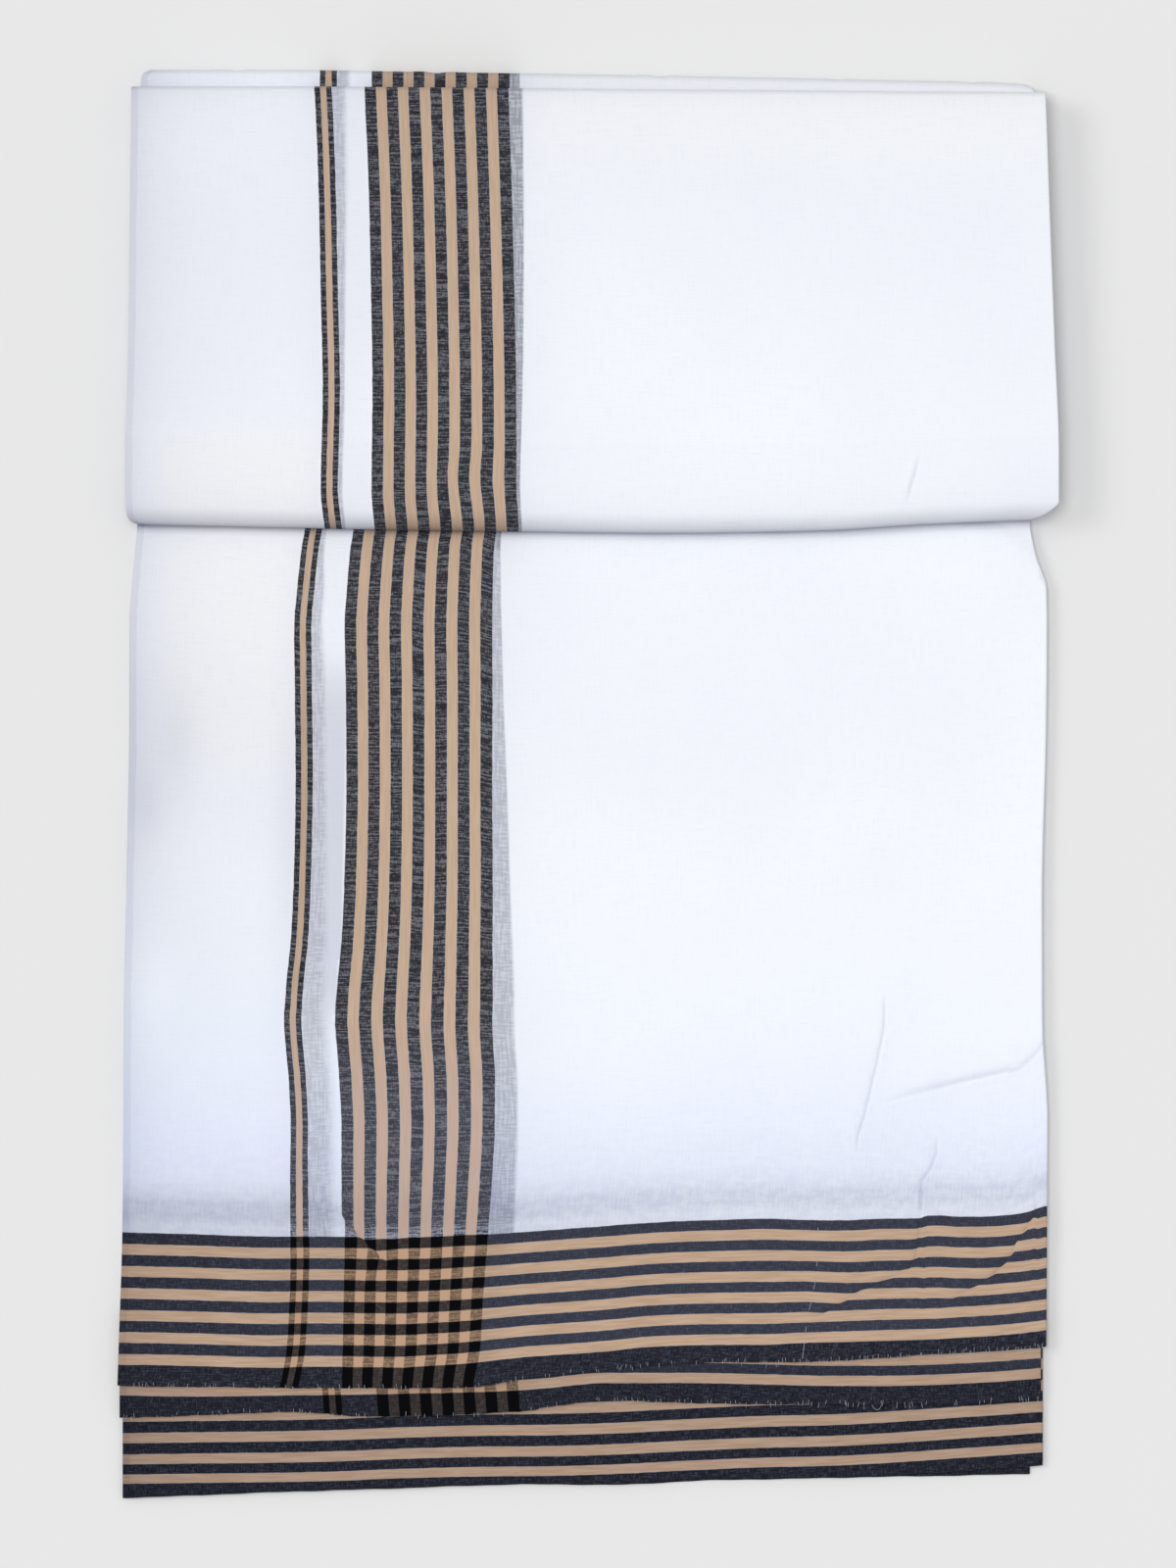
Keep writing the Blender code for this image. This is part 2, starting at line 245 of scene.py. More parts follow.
# The first end's border: the top of its highest stripe, and the top of the broad stripe at the raw end
BORDER_LINE = table(
    "x top broad",
    (-162.3, -154.5, -200.2),
    (-158.9, -154.6, -200.2),
    (-135.3, -155.2, -200.6),
    (-108.2, -156.0, -201.2),
    (-94.7, -156.0, -200.8),
    (-64.6, -156.3, -201.1),
    (-57.2, -156.2, -200.7),
    (-42.7, -155.5, -199.8),
    (-33.9, -155.2, -198.8),
    (-20.4, -154.3, -197.4),
    (-6.8, -153.3, -196.5),
    (6.7, -152.3, -195.5),
    (20.2, -151.3, -194.1),
    (33.7, -150.6, -193.5),
    (47.2, -150.2, -193.3),
    (60.8, -149.8, -193.3),
    (72.6, -150.2, -192.7),
    (82.7, -150.4, -192.4),
    (91.2, -150.3, -192.2),
    (101.3, -149.8, -191.9),
    (114.2, -149.7, -191.5),
    (116.9, -148.8, -191.4),
    (120.9, -148.7, -191.3),
    (128.4, -149.1, -190.8),
    (135.1, -149.1, -190.5),
    (141.9, -148.8, -190.0),
    (148.6, -148.1, -189.4),
    (152.0, -147.4, -189.0),
    (155.4, -146.1, -188.6),
    (157.4, -145.5, -188.3),
)

# The strips below it: the top of the second end's broad stripe, and of the middle fold's third black one
STRIP_LINES = table(
    "x second middle",
    (-158.9, -210.8, -227.3),
    (-135.3, -211.2, -227.0),
    (-108.2, -210.8, -226.7),
    (-88.0, -210.6, -226.3),
    (-64.6, -210.2, -225.4),
    (-33.9, -209.5, -224.7),
    (-17.0, -208.5, -224.6),
    (6.7, -206.5, -224.0),
    (33.7, -206.5, -222.7),
    (60.8, -207.0, -221.6),
    (82.7, -207.5, -221.1),
    (101.3, -207.5, -220.2),
    (116.9, -207.2, -219.2),
    (128.4, -206.7, -218.4),
    (141.9, -206.0, -217.5),
    (155.4, -204.9, -216.5),
)
# How far a point of the middle fold is from that line, and how far it is along the border from the broad
# stripe
MIDDLE_FROM_LINE = (-22.0, -13.95, -7.3, 0.0, 66.0)
MIDDLE_ALONG = (-8.7, 0.0, WEFT_PERIOD, 2 * WEFT_PERIOD, 2 * WEFT_PERIOD + 68.0)

# A small pleat takes some length from the stripes above its line
FIRST_PLEAT = table(
    "x y takes soft",
    (76.0, -185.3, 0.00, 0.35),
    (82.7, -181.6, 0.70, 0.22),
    (88.5, -178.2, 1.35, 0.22),
    (93.9, -174.5, 1.50, 0.22),
    (103.0, -170.8, 1.30, 0.60),
    (110.4, -167.1, 1.25, 1.30),
    (113.1, -163.7, 1.20, 1.60),
    (114.2, -156.6, 1.15, 1.60),
    (114.8, -149.5, 1.10, 0.90),
)
SECOND_PLEAT = table(
    "x y takes soft",
    (120.9, -180.2, 0.00, 0.35),
    (126.7, -176.9, 0.70, 0.22),
    (134.1, -172.8, 1.30, 0.22),
    (139.8, -169.1, 1.50, 0.22),
    (143.6, -165.4, 1.50, 0.22),
    (146.6, -161.6, 1.45, 0.22),
    (147.6, -157.9, 1.40, 0.22),
    (151.0, -153.9, 1.20, 0.35),
    (152.7, -150.5, 1.00, 0.35),
    (154.4, -146.4, 0.90, 0.35),
)
THIRD_PLEAT = table(
    "x y takes soft",
    (-85.9, -147.5, 0.9, 0.35),
    (-82.2, -152.2, 0.9, 0.35),
    (-76.1, -158.6, 0.9, 0.35),
    (-67.7, -166.4, 0.9, 0.35),
)
# It also moves the warp stripes below its line aside
THIRD_PLEAT_ASIDE = 1.2

# ---------------------------------------------------------------- creases of the long stretch
# deep: trough; wide: its half width; slope: how much wider it is on its upper side; lift: the soft ridge
# beside it; fade: how far its ends take to run out. A line has the trough's steep side on its left
CREASES = table(
    "name deep wide slope lift fade line",
    ("upright", 0.55, 0.42, 1.6, 0.24, 14.0,
     ((102.3, -70.4), (102.1, -84.5), (100.0, -94.7), (97.6, -104.9), (95.2, -115.0), (92.9, -121.8),
      (92.2, -129.5))),
    ("level", 0.60, 0.50, 3.2, 0.26, 16.0,
     ((98.6, -111.3), (108.1, -107.9), (118.2, -105.2), (128.4, -102.6), (138.5, -100.3),
      (148.6, -98.1), (153.7, -93.5), (158.6, -87.4))),
    ("first pleat", 0.58, 0.42, 1.8, 0.28, 10.0,
     ((120.2, -119.7), (120.2, -127.2), (118.2, -132.6), (115.2, -136.6), (114.8, -142.7),
      (114.8, -149.5), (114.2, -156.6), (113.1, -163.7), (110.4, -167.1), (103.0, -170.8),
      (93.9, -174.5), (88.5, -178.2), (82.7, -181.6), (76.0, -185.3))),
    ("second pleat", 0.52, 0.42, 1.8, 0.26, 7.0,
     ((155.4, -144.5), (152.7, -150.5), (151.0, -153.9), (147.6, -157.9), (146.6, -161.7),
      (143.6, -165.4), (139.9, -169.1), (134.1, -172.8), (126.7, -176.9), (120.9, -180.2))),
    ("third pleat", 0.40, 0.4, 1.5, 0.2, 4.0,
     ((-86.9, -145.5), (-82.2, -152.2), (-76.1, -158.6), (-67.7, -166.4))),
    ("corner", 0.0, 2.6, 1.0, 0.0, 10.0,
     ((126.0, 89.0), (138.5, 87.0), (145.3, 84.4), (150.3, 80.7), (154.5, 74.0))),
)
# A trough's roundness, and where its ridge is and how wide, in half widths of the trough
TROUGH_POWER = 1.6
RIDGE_AT = 2.6
RIDGE_WIDE = 1.8
# How far the corner is pressed down beyond its crease, and the ridge in front of that
CORNER_DROP = 1.1
CORNER_RIDGE = 0.35
# The painted shade in a crease: how dark, how wide on its two sides, and how far its ends take to fade. The
# level crease has a wider one, and a plain one near the right side
CREASE_PAINTED_SHADE = (0.15, 0.35, 0.6, 8.0)
LEVEL_PAINTED_SHADE = (0.15, 1.5, 0.35, 26.0)
LEVEL_END_PAINTED_SHADE = (0.14, 0.8)
LEVEL_END_FROM = 145.0
# The stripes of the end border, from here down, get no such painted shade
CREASE_GREY_DOWN_TO = -147.0
# Broad soft swells under the creases, as the solid has them
SWELLS = table(
    "x0 y0 x1 y1 high wide",
    (157.0, -91.0, 100.0, -111.0, 0.5, 9.0),
    (102.0, -72.0, 94.0, -122.0, 0.3, 8.0),
    (115.0, -150.0, 81.0, -182.0, 0.5, 9.0),
    (154.0, -149.0, 126.0, -178.0, 0.5, 9.0),
    (-84.0, -20.0, -88.0, -100.0, 0.3, 14.0),
    (-60.0, 30.0, 60.0, 10.0, 0.3, 22.0),
)
SWELL_FADE = 25.0
# How far the block presses the long stretch down
PRESSED = 0.25
# Slow waves of the pressed faces: which way they run, their seed, wave lengths and height
PANEL_WAVES = table(
    "x y seed lengths high",
    (1.0, 0.35, 21, (130.0, 83.0, 47.0), 0.10),
    (-0.3, 1.0, 22, (110.0, 61.0), 0.12),
    (1.0, -0.2, 23, (19.0, 12.0), 0.02),
    (0.15, 1.0, 24, (17.0, 11.0), 0.02),
)
BLOCK_WAVES = table(
    "x y seed lengths high",
    (1.0, 0.3, 25, (120.0, 67.0), 0.14),
    (-0.2, 1.0, 26, (90.0, 53.0), 0.12),
)
BLOCK_CREASE = ((114.5, 115.8), (112.8, 108.1), (110.8, 101.3), (108.8, 94.9))
# Short soft creases on the round folds at the back. lean is how far one runs aside over the fold's height,
# and low and high are the shares of that height where it starts and ends
BACK_CREASES = table(
    "x lean deep wide low high",
    (-121.0, 5.0, 0.34, 2.3, 0.12, 0.72),
    (-52.0, -9.0, 0.42, 3.0, 0.30, 0.92),
    (-37.5, 3.0, 0.26, 1.8, 0.05, 0.48),
    (24.0, 7.0, 0.40, 2.6, 0.22, 0.90),
    (86.0, -4.0, 0.30, 2.0, 0.34, 0.80),
    (131.0, 11.0, 0.40, 3.3, 0.08, 0.74),
)
TOP_CREASES = table(
    "x lean deep wide low high",
    (-138.0, -7.0, 0.36, 2.8, 0.04, 0.44),
    (-84.0, 3.0, 0.26, 1.9, 0.10, 0.36),
    (-6.0, 9.0, 0.40, 3.2, 0.00, 0.46),
    (61.0, -5.0, 0.30, 2.2, 0.08, 0.42),
    (109.0, 4.0, 0.38, 2.7, 0.02, 0.40),
)

# Shades of the white, and how far each one reaches: painted shade in from the left, the plies below showing
# through on both sides of the warp borders, and painted shade and shadow along the block's top and bottom
# folds
LEFT_PAINTED_SHADE = table("adds wide", (0.13, 9.0), (0.11, 50.0))
# Painted shade on the strip of lower plies at the left
LOWER_PLIES_PAINTED_SHADE = 0.07
# Of the long stretch: between the borders, what is added there half way down, and painted shade in the band
# by the end border
BETWEEN_GREY = 0.05
MID_BETWEEN_GREY = 0.19
END_GREY = 0.12
END_GREY_AT = -149.0
BEYOND_WIDE = table("adds wide", (0.08, 9.0))
BEFORE_NARROW = table("adds wide", (0.06, 6.0))
TOP_FOLD_PAINTED_SHADE = table("adds wide", (0.09, 5.0))
BOTTOM_FOLD_PAINTED_SHADE = table("adds wide", (FOLD_SHADE, 0.45), (0.12, 5.0), (0.05, 18.0))
# Soft patches of painted shade on the long stretch, and one where less shade is painted
PAINTED_SHADE_PATCHES = table(
    "x y wide long adds",
    (-158.0, 12.0, 19.0, 34.0, 0.08),
    (-141.0, 14.0, 7.0, 20.0, 0.06),
    (-152.0, -8.0, 6.0, 12.0, 0.05),
    (-122.0, 15.0, 30.0, 36.0, 0.045),
    (-103.0, -12.0, 6.0, 40.0, 0.07),
    (-150.0, -72.0, 9.0, 17.0, -0.055),
)

# The stripes of the block bend a little to the left above its bottom fold, and back at it
STRIPE_BENDS = table(
    "x y wide long adds",
    (-41.0, 105.5, 11.0, 7.0, 0.8),
    (-42.0, 90.0, 14.0, 6.0, -0.25),
)

# The top ply of each length stops short of the left side, and the plies below it show there
PLY_STEP_IN = 2.5
PLY_STEP = 0.25
LEFT_ROUND = 1.7
LEFT_DROP = 0.5
RIGHT_ROUND = 0.7
RIGHT_DROP = 0.3
# A rim has a small round edge for each ply: the share of its thickness, and how much of the bulge is there
RIM_BULGE = 0.16
PLY_ROUND = ((0.12, 0.45), (0.5, 1.0), (0.88, 0.45))
# About how wide a stretch is and how far apart its points are across, and the same along it
Grid = namedtuple("Grid", "wide across long along", defaults=(None, None))
PANEL_GRID = Grid(318.0, 1.35, 305.0, 1.35)
SECOND_GRID = Grid(317.0, 1.4, 35.0, 1.5)
LEAF_GRID = Grid(316.0, 1.6, 62.0, 1.6)
BLOCK_GRID = Grid(318.0, 1.6, 142.0, 1.5)
BACK_GRID = Grid(306.0, 1.6)
# A place that is far from all borders, and a distance at which the ply below doesn't show
BORDERLESS = 400.0
UNSEEN = -9.0


# ---------------------------------------------------------------- reading the tables
def read(rows, column, at):
    """A table's column where its first column has the values at, eased between the rows without overshoot."""
    keys = np.array([row[0] for row in rows])
    values = np.array([getattr(row, column) for row in rows])
    at = np.asarray(at, float)
    if len(rows) == 1:
        return np.full(at.shape, values[0])
    rise = np.diff(values) / np.diff(keys)
    same_way = rise[1:] * rise[:-1] > 0
    inner = np.where(same_way, 2 * rise[1:] * rise[:-1] / np.where(same_way, rise[1:] + rise[:-1], 1), 0)
    slopes = np.concatenate(([rise[0]], inner, [rise[-1]]))
    at = np.clip(at, keys[0], keys[-1])
    i = np.clip(np.searchsorted(keys, at) - 1, 0, len(keys) - 2)
    span = keys[i + 1] - keys[i]
    t = (at - keys[i]) / span
    held = (1 + 2 * t) * (1 - t) ** 2 * values[i] + t * t * (3 - 2 * t) * values[i + 1]
    lean = t * (1 - t) ** 2 * slopes[i] + t * t * (t - 1) * slopes[i + 1]
    return held + span * lean


def ease(low, high, at):
    """0 below low, 1 above high, and a soft rise between them."""
    t = np.clip((np.asarray(at, float) - low) / (high - low), 0, 1)
    return t * t * (3 - 2 * t)


def bump(away, wide):
    """1 in the middle, and a round fall that has almost ended at twice wide."""
    return np.exp(-((away / wide) ** 2))


def fading(away, wide):
    """1 at an edge, and about a third of that at wide."""
    return np.exp(-away / wide)


def faded(rows, away):
    """What soft shades add at a distance from the edge where they are darkest."""
    return sum(row.adds * fading(away, row.wide) for row in rows)


def patched(rows, x, y):
    """What soft patches add at a point. Each has its middle, its half width and length, and what it adds."""
    return sum(row.adds * bump(x - row.x, row.wide) * bump(y - row.y, row.long) for row in rows)


def wander(at, seed, waves, size):
    """An uneven line: a few waves of different length, always the same for one seed."""
    rng = np.random.RandomState(seed)
    total = np.zeros(np.shape(at))
    for wave in waves:
        turn = rng.uniform(0, 2 * math.pi)
        total = total + rng.uniform(0.6, 1.0) * np.sin(2 * math.pi * np.asarray(at) / wave + turn)
    return size * total / len(waves)


def waves(rows, x, y):
    """The height of slow waves that run in several directions."""
    return sum(wander(row.x * x + row.y * y, row.seed, row.lengths, row.high) for row in rows)


def fold_line(name, x):
    """A fold's line across the cloth: the back fold's, or the top or bottom fold's of the block."""
    return read(FOLD_LINES, name, x)


def end_line(name, x):
    """A raw end or a fold of the stack's near end. The raw ends are uneven from thread to thread."""
    return read(END_LINES, name, x) + wander(x, *UNEVEN_ENDS[name])


def across(sides, u, y):
    """The x of a point that lies the share u of the way across, between a stretch's two sides."""
    left, right = read(sides, "left", y), read(sides, "right", y)
    return left + u * (right - left)


def near_line(line, x, y):
    """For each point, its distance from a line of points, which side of it it is on and how far along."""
    best = np.full(x.shape, 1e9)
    side = np.zeros(x.shape)
    along = np.zeros(x.shape)
    run = 0.0
    for (x0, y0), (x1, y1) in zip(line, line[1:]):
        dx, dy = x1 - x0, y1 - y0
        long = math.hypot(dx, dy)
        t = np.clip(((x - x0) * dx + (y - y0) * dy) / long**2, 0, 1)
        away = np.hypot(x - x0 - t * dx, y - y0 - t * dy)
        cross = dx * (y - y0) - dy * (x - x0)
        closer = away < best
        best = np.where(closer, away, best)
        side = np.where(closer, np.sign(cross), side)
        along = np.where(closer, run + t * long, along)
        run += long
    return best, side, along, run


# ---------------------------------------------------------------- the form of each stretch
def step_in(left):
    """How far the top ply stops short of the left side."""
    return PLY_STEP_IN + wander(left * 11, 3, (7.0, 3.1), 0.25)


def edge_drop(x, left, right):
    """How far the face drops towards a stretch's sides: to the lower plies at the left, and at both rims."""
    short = step_in(left)
    drop = PLY_STEP * (1 - ease(short - 0.3, short + 0.1, x - left))
    for gone, size, deep in ((x - left, LEFT_ROUND, LEFT_DROP), (right - x, RIGHT_ROUND, RIGHT_DROP)):
        t = np.clip(1 - gone / size, 0, 1)
        drop = drop + deep * (1 - np.sqrt(1 - t * t))
    return drop


def painted_shade_and_show_through(x, left, narrow=-1000.0, wide_right=1000.0):
    """How much the white is darkened by painted shade and by the plies below showing through: most at the
    left fold, where the shade is painted, less beside the stripes. The strip of lower plies at the left has
    the most painted shade."""
    inside = np.maximum(x - left, 0)
    # Painted shade on the strip of lower plies and in from the left fold; beside the stripes the plies below
    # show through
    plies = LOWER_PLIES_PAINTED_SHADE * (1 - ease(step_in(left) - 0.25, step_in(left) + 0.1, inside))
    beyond_wide = faded(BEYOND_WIDE, np.maximum(x - wide_right, 0)) * (x > wide_right)
    before_narrow = faded(BEFORE_NARROW, np.maximum(narrow - x, 0)) * (x < narrow)
    return faded(LEFT_PAINTED_SHADE, inside) + plies + beyond_wide + before_narrow


def crease_relief(x, y):
    """The troughs and soft ridges of the long stretch's creases. The level one starts, and the second pleat's
    ends, without fading: they run out at the sides of the cloth."""
    relief = np.zeros(x.shape)
    for number, crease in enumerate(CREASES):
        away, side, along, run = near_line(crease.line, x, y)
        starts, ends = ease(0, crease.fade, along), ease(0, crease.fade, run - along)
        strength = {"level": starts, "second pleat": ends}.get(crease.name, starts * ends)
        strength = strength * (0.85 + wander(along, 40 + number, (23.0, 9.0), 0.25))
        if crease.name == "corner":
            outside = np.where(side > 0, away, -away)
            relief -= CORNER_DROP * ease(-0.5, 6.0, outside) * ease(0, 6.0, along + 2)
            relief += CORNER_RIDGE * bump(outside + 2.5, crease.wide) * strength
            continue
        gentle = side > 0 if crease.name == "level" else side < 0
        wide = crease.wide * np.where(gentle, crease.slope, 1.0)
        relief -= strength * crease.deep * np.exp(-((away / wide) ** TROUGH_POWER))
        ridge = bump(away - RIDGE_AT * crease.wide, RIDGE_WIDE * crease.wide)
        relief += strength * crease.lift * ridge * ~gentle
    return relief


def painted_line_shade(line, x, y, dark, left_wide, right_wide, fade):
    """Painted shade along a pressed crease's line, as wide on each side as given."""
    away, side, along, run = near_line(line, x, y)
    wide = np.where(side > 0, left_wide, right_wide)
    return dark * bump(away, wide) * ease(0, fade, along) * ease(0, fade, run - along)


def painted_crease_shade(x, y):
    """The painted shade in the long stretch's creases: each one's trough, on its gentle side."""
    grey = np.zeros(x.shape)
    for crease in CREASES:
        if crease.name == "level":
            dark, wide = LEVEL_END_PAINTED_SHADE
            by_side = dark * bump(near_line(crease.line, x, y)[0], wide)
            grey += np.where(x > LEVEL_END_FROM, by_side, painted_line_shade(crease.line, x, y, *LEVEL_PAINTED_SHADE))
        elif crease.name != "corner":
            grey += painted_line_shade(crease.line, x, y, *CREASE_PAINTED_SHADE) * (y > CREASE_GREY_DOWN_TO)
    return grey


def swells(x, y):
    """Broad lifts under the creases, which fade out towards the block."""
    lift = np.zeros(x.shape)
    for row in SWELLS:
        away = near_line(((row.x0, row.y0), (row.x1, row.y1)), x, y)[0]
        lift = np.maximum(lift, row.high * bump(away, row.wide))
    clear = ease(0, SWELL_FADE, fold_line("bottom", x) - y)
    return (lift + waves(PANEL_WAVES, x, y)) * clear


def fold_creases(rows, x, share):
    """How far the short creases of a round fold draw its face in, with a soft ridge on both sides of each."""
    drawn = 0 * x + 0 * share
    for row in rows:
        away = np.abs(x - row.x - row.lean * (share - 0.5)) / row.wide
        runs = ease(row.low - 0.08, row.low + 0.12, share) * ease(row.high + 0.08, row.high - 0.12, share)
        drawn = drawn + row.deep * runs * (bump(away, 1.0) - 0.45 * bump(away - 1.8, 0.8))
    return drawn


def panel_height(x, y):
    """The long stretch's face: its creases and swells, pressed down a little under the block's fold."""
    left = read(PANEL_SIDES, "left", y)
    right = read(PANEL_SIDES, "right", y)
    top = FRONT_END_LOW + LENGTH_THICK + swells(x, y) + crease_relief(x, y)
    pressed = PRESSED * (1 - ease(-2.0, 9.0, fold_line("bottom", x) - y))
    return top - pressed - edge_drop(x, left, right)


# ---------------------------------------------------------------- where the woven threads run
def warp_places(rows, x, y):
    """Distance across the cloth from the wide border's left edge, in its own woven millimetres."""
    narrow = read(rows, "narrow", y)
    wide_left = read(rows, "wide_left", y)
    wide_right = read(rows, "wide_right", y)
    share = (x - wide_left) / (wide_right - wide_left)
    inside = (share + WARP_SPREAD * share * (1 - share)) * WIDE_WIDE
    spread = 1 + NARROW_SPREAD * ease(-118.0, -150.0, y)
    narrow_end = narrow + NARROW_WIDE * spread
    gap = (x - wide_left) / (wide_left - narrow_end) * BETWEEN
    beyond = (x - narrow_end) / spread - BETWEEN
    place = np.where(x > wide_right, WIDE_WIDE + x - wide_right, inside)
    place = np.where(x < wide_left, gap, place)
    place = np.where(x < narrow_end, beyond, place)
    shade_wide = (x - wide_right) / np.maximum(read(rows, "wide_shade", y), 0.01)
    shade_narrow = (x - narrow_end) / np.maximum(read(rows, "narrow_shade", y), 0.01)
    return place, shade_wide, shade_narrow


def marks(place, along, shade_wide, shade_narrow, grey):
    """What every point of a cloth carries for its material, side by side in the last axis."""
    return np.stack(np.broadcast_arrays(place, along, shade_wide, shade_narrow, grey), -1)


def pleat_take(rows, x, y):
    """The length that a pleat has taken from the stripes at a point, and at the stripes' top above it."""
    last = rows[-1]
    line = [(row.x, row.y) for row in rows] + [(last.x + 0.2, last.y + 12.0)]
    away, side, _, _ = near_line(line, x, y)
    takes = np.interp(x, [row.x for row in rows], [row.takes for row in rows])
    soft = np.interp(y, [row.y for row in rows], [row.soft for row in rows])
    top_takes = takes * (1 - ease(last.x - last.soft, last.x + last.soft, x))
    return takes * ease(0.0, 1.0, (away * side / soft + 1) / 2), top_takes


def panel_weave(x, y):
    """Place across and along the cloth, from the wide border and from the raw end."""
    place, shade_wide, shade_narrow = warp_places(PANEL_WARP, x, y)
    broad = read(BORDER_LINE, "broad", x)
    top = read(BORDER_LINE, "top", x)
    first, first_top = pleat_take(FIRST_PLEAT, x, y)
    second, second_top = pleat_take(SECOND_PLEAT, x, y)
    long = WEFT_DEEP - END_STRIPE - first_top - second_top
    along = END_STRIPE + (y - broad) / (top - broad) * long + first + second
    away, side, run, total = near_line([(row.x, row.y) for row in THIRD_PLEAT], x, y)
    ends = ease(0, 3.0, run) * ease(0, 6.0, total - run)
    above = ease(-THIRD_PLEAT[0].soft, THIRD_PLEAT[0].soft, away * side)
    along = along + THIRD_PLEAT[0].takes * above * fading(away, 12.0) * ends
    place = place - THIRD_PLEAT_ASIDE * (1 - above) * fading(away, 9.0) * ends
    return marks(place, along, shade_wide, shade_narrow, panel_grey(x, y))


def panel_grey(x, y):
    """The long stretch's darkening, also by painted shade in soft patches and in the white above the end
    border, the gap between the borders, and the painted shadow under the block."""
    left = read(PANEL_SIDES, "left", y)
    narrow, wide_left, wide_right, narrow_shade = (
        read(PANEL_WARP, name, y) for name in ("narrow", "wide_left", "wide_right", "narrow_shade")
    )
    # Painted shade towards the left and in soft patches; beside the stripes the plies below show through
    grey = painted_shade_and_show_through(x, left, narrow, wide_right) + patched(PAINTED_SHADE_PATCHES, x, y)
    between = (x > narrow) & (x < wide_left)
    shaded = (x - narrow - NARROW_WIDE) / np.maximum(narrow_shade, 0.01)
    bare = 1 - 0.75 * ease(1.2, 0.55, shaded)
    half_way = ease(50.0, 26.0, y) * ease(-92.0, -66.0, y)
    grey = grey + between * bare * (BETWEEN_GREY + MID_BETWEEN_GREY * half_way)
    # Painted shade in the band by the end border, towards the left
    grey = grey + END_GREY * bump(y - END_GREY_AT, 9.0) * ease(60.0, -120.0, x) * ~between
    under = np.maximum(fold_line("bottom", x) - y, 0)
    # Painted shadow under the block's bottom fold, and painted shade in the creases
    return grey + FOLD_SHADE * bump(under, 1.6) + painted_crease_shade(x, y)


def strip_weave(rows, x, along, grey):
    """What a narrow strip carries, with its warp borders where the table's first row has them."""
    place, shade_wide, shade_narrow = warp_places(rows, x, 0 * x + rows[0].y)
    return marks(place, along, shade_wide, shade_narrow, grey)


# ---------------------------------------------------------------- making meshes
def put_uv(mesh, name, per_vertex):
    """A UV map from one value for each vertex."""
    corner = np.empty(len(mesh.loops), np.int32)
    mesh.loops.foreach_get("vertex_index", corner)
    layer = mesh.uv_layers.new(name=name)
    layer.uv.foreach_set("vector", np.asarray(per_vertex, np.float32)[corner].ravel())


def in_scene(name, data):
    """An object of the scene from its data."""
    made = bpy.data.objects.new(name, data)
    bpy.context.scene.collection.objects.link(made)
    return made


def finished(name, mesh):
    """A mesh as an object in the scene, its normals outward and its faces smooth."""
    bm = bmesh.new()
    bm.from_mesh(mesh)
    bmesh.ops.recalc_face_normals(bm, faces=bm.faces)
    bm.to_mesh(mesh)
    bm.free()
    mesh.shade_smooth()
    return in_scene(name, mesh)


def mesh_object(name, points, faces, marked, material):
    """A piece of cloth from its points, faces and marks."""
    mesh = bpy.data.meshes.new(name)
    mesh.from_pydata((np.asarray(points) * MM).tolist(), [], faces)
    put_uv(mesh, "weave", marked[:, 0:2])
    put_uv(mesh, "ply_below", marked[:, 2:4])
    # The grey attribute: mostly painted shade and shadow, and the plies below where they show through
    grey = mesh.attributes.new("grey", "FLOAT", "POINT")
    grey.data.foreach_set("value", np.asarray(marked[:, 4], np.float32))
    mesh.materials.append(material)
    return finished(name, mesh)


def outward(edge, normal, middle):
    """The directions out of a closed loop of points, square to it and to the normals."""
    out = np.cross(np.roll(edge, -1, axis=0) - np.roll(edge, 1, axis=0), normal)
    out /= np.maximum(np.linalg.norm(out, axis=-1, keepdims=True), 1e-9)
    return -out if np.mean(np.sum(out * (edge - middle), -1)) < 0 else out


def rim(top, foot, out):
    """The loops of points down a rim, between its top loop and its foot. Each ply is a small round edge."""
    loops = []
    for ply in range(PLIES):
        for share, bulge in PLY_ROUND:
            down = (ply + share) / PLIES
            loops.append(top * (1 - down) + foot * down + out * RIM_BULGE * bulge)
    return loops


def bands(start, top, count, foot):
    """The faces of a rim, from its top loop over count loops that are numbered from start to its foot."""
    rings = [top, *(np.arange(len(top)) + start + i * len(top) for i in range(count)), foot]
    pairs = zip(rings, rings[1:])
    return np.concatenate([np.stack((np.roll(a, -1), a, b, np.roll(b, -1)), 1) for a, b in pairs])


def shell(outer, thick, marked, flip=False):
    """A wall of cloth from a grid of points on its outer face: (points, faces, marks)."""
    rows, columns = outer.shape[:2]
    down_rows = np.gradient(outer, axis=0)
    over_columns = np.gradient(outer, axis=1)
    normal = np.cross(over_columns, down_rows)
    normal /= np.linalg.norm(normal, axis=-1, keepdims=True)
    if flip:
        normal = -normal
    thick = np.broadcast_to(np.asarray(thick, float), (rows, columns))[..., None]
    return wall(outer, outer - normal * thick, normal, marked)


def slab(top, foot, marked):
    """A wall of cloth between a grid of points on its face and the same grid on its flat underside."""
    return wall(top, foot, np.broadcast_to((0.0, 0.0, 1.0), top.shape), marked)


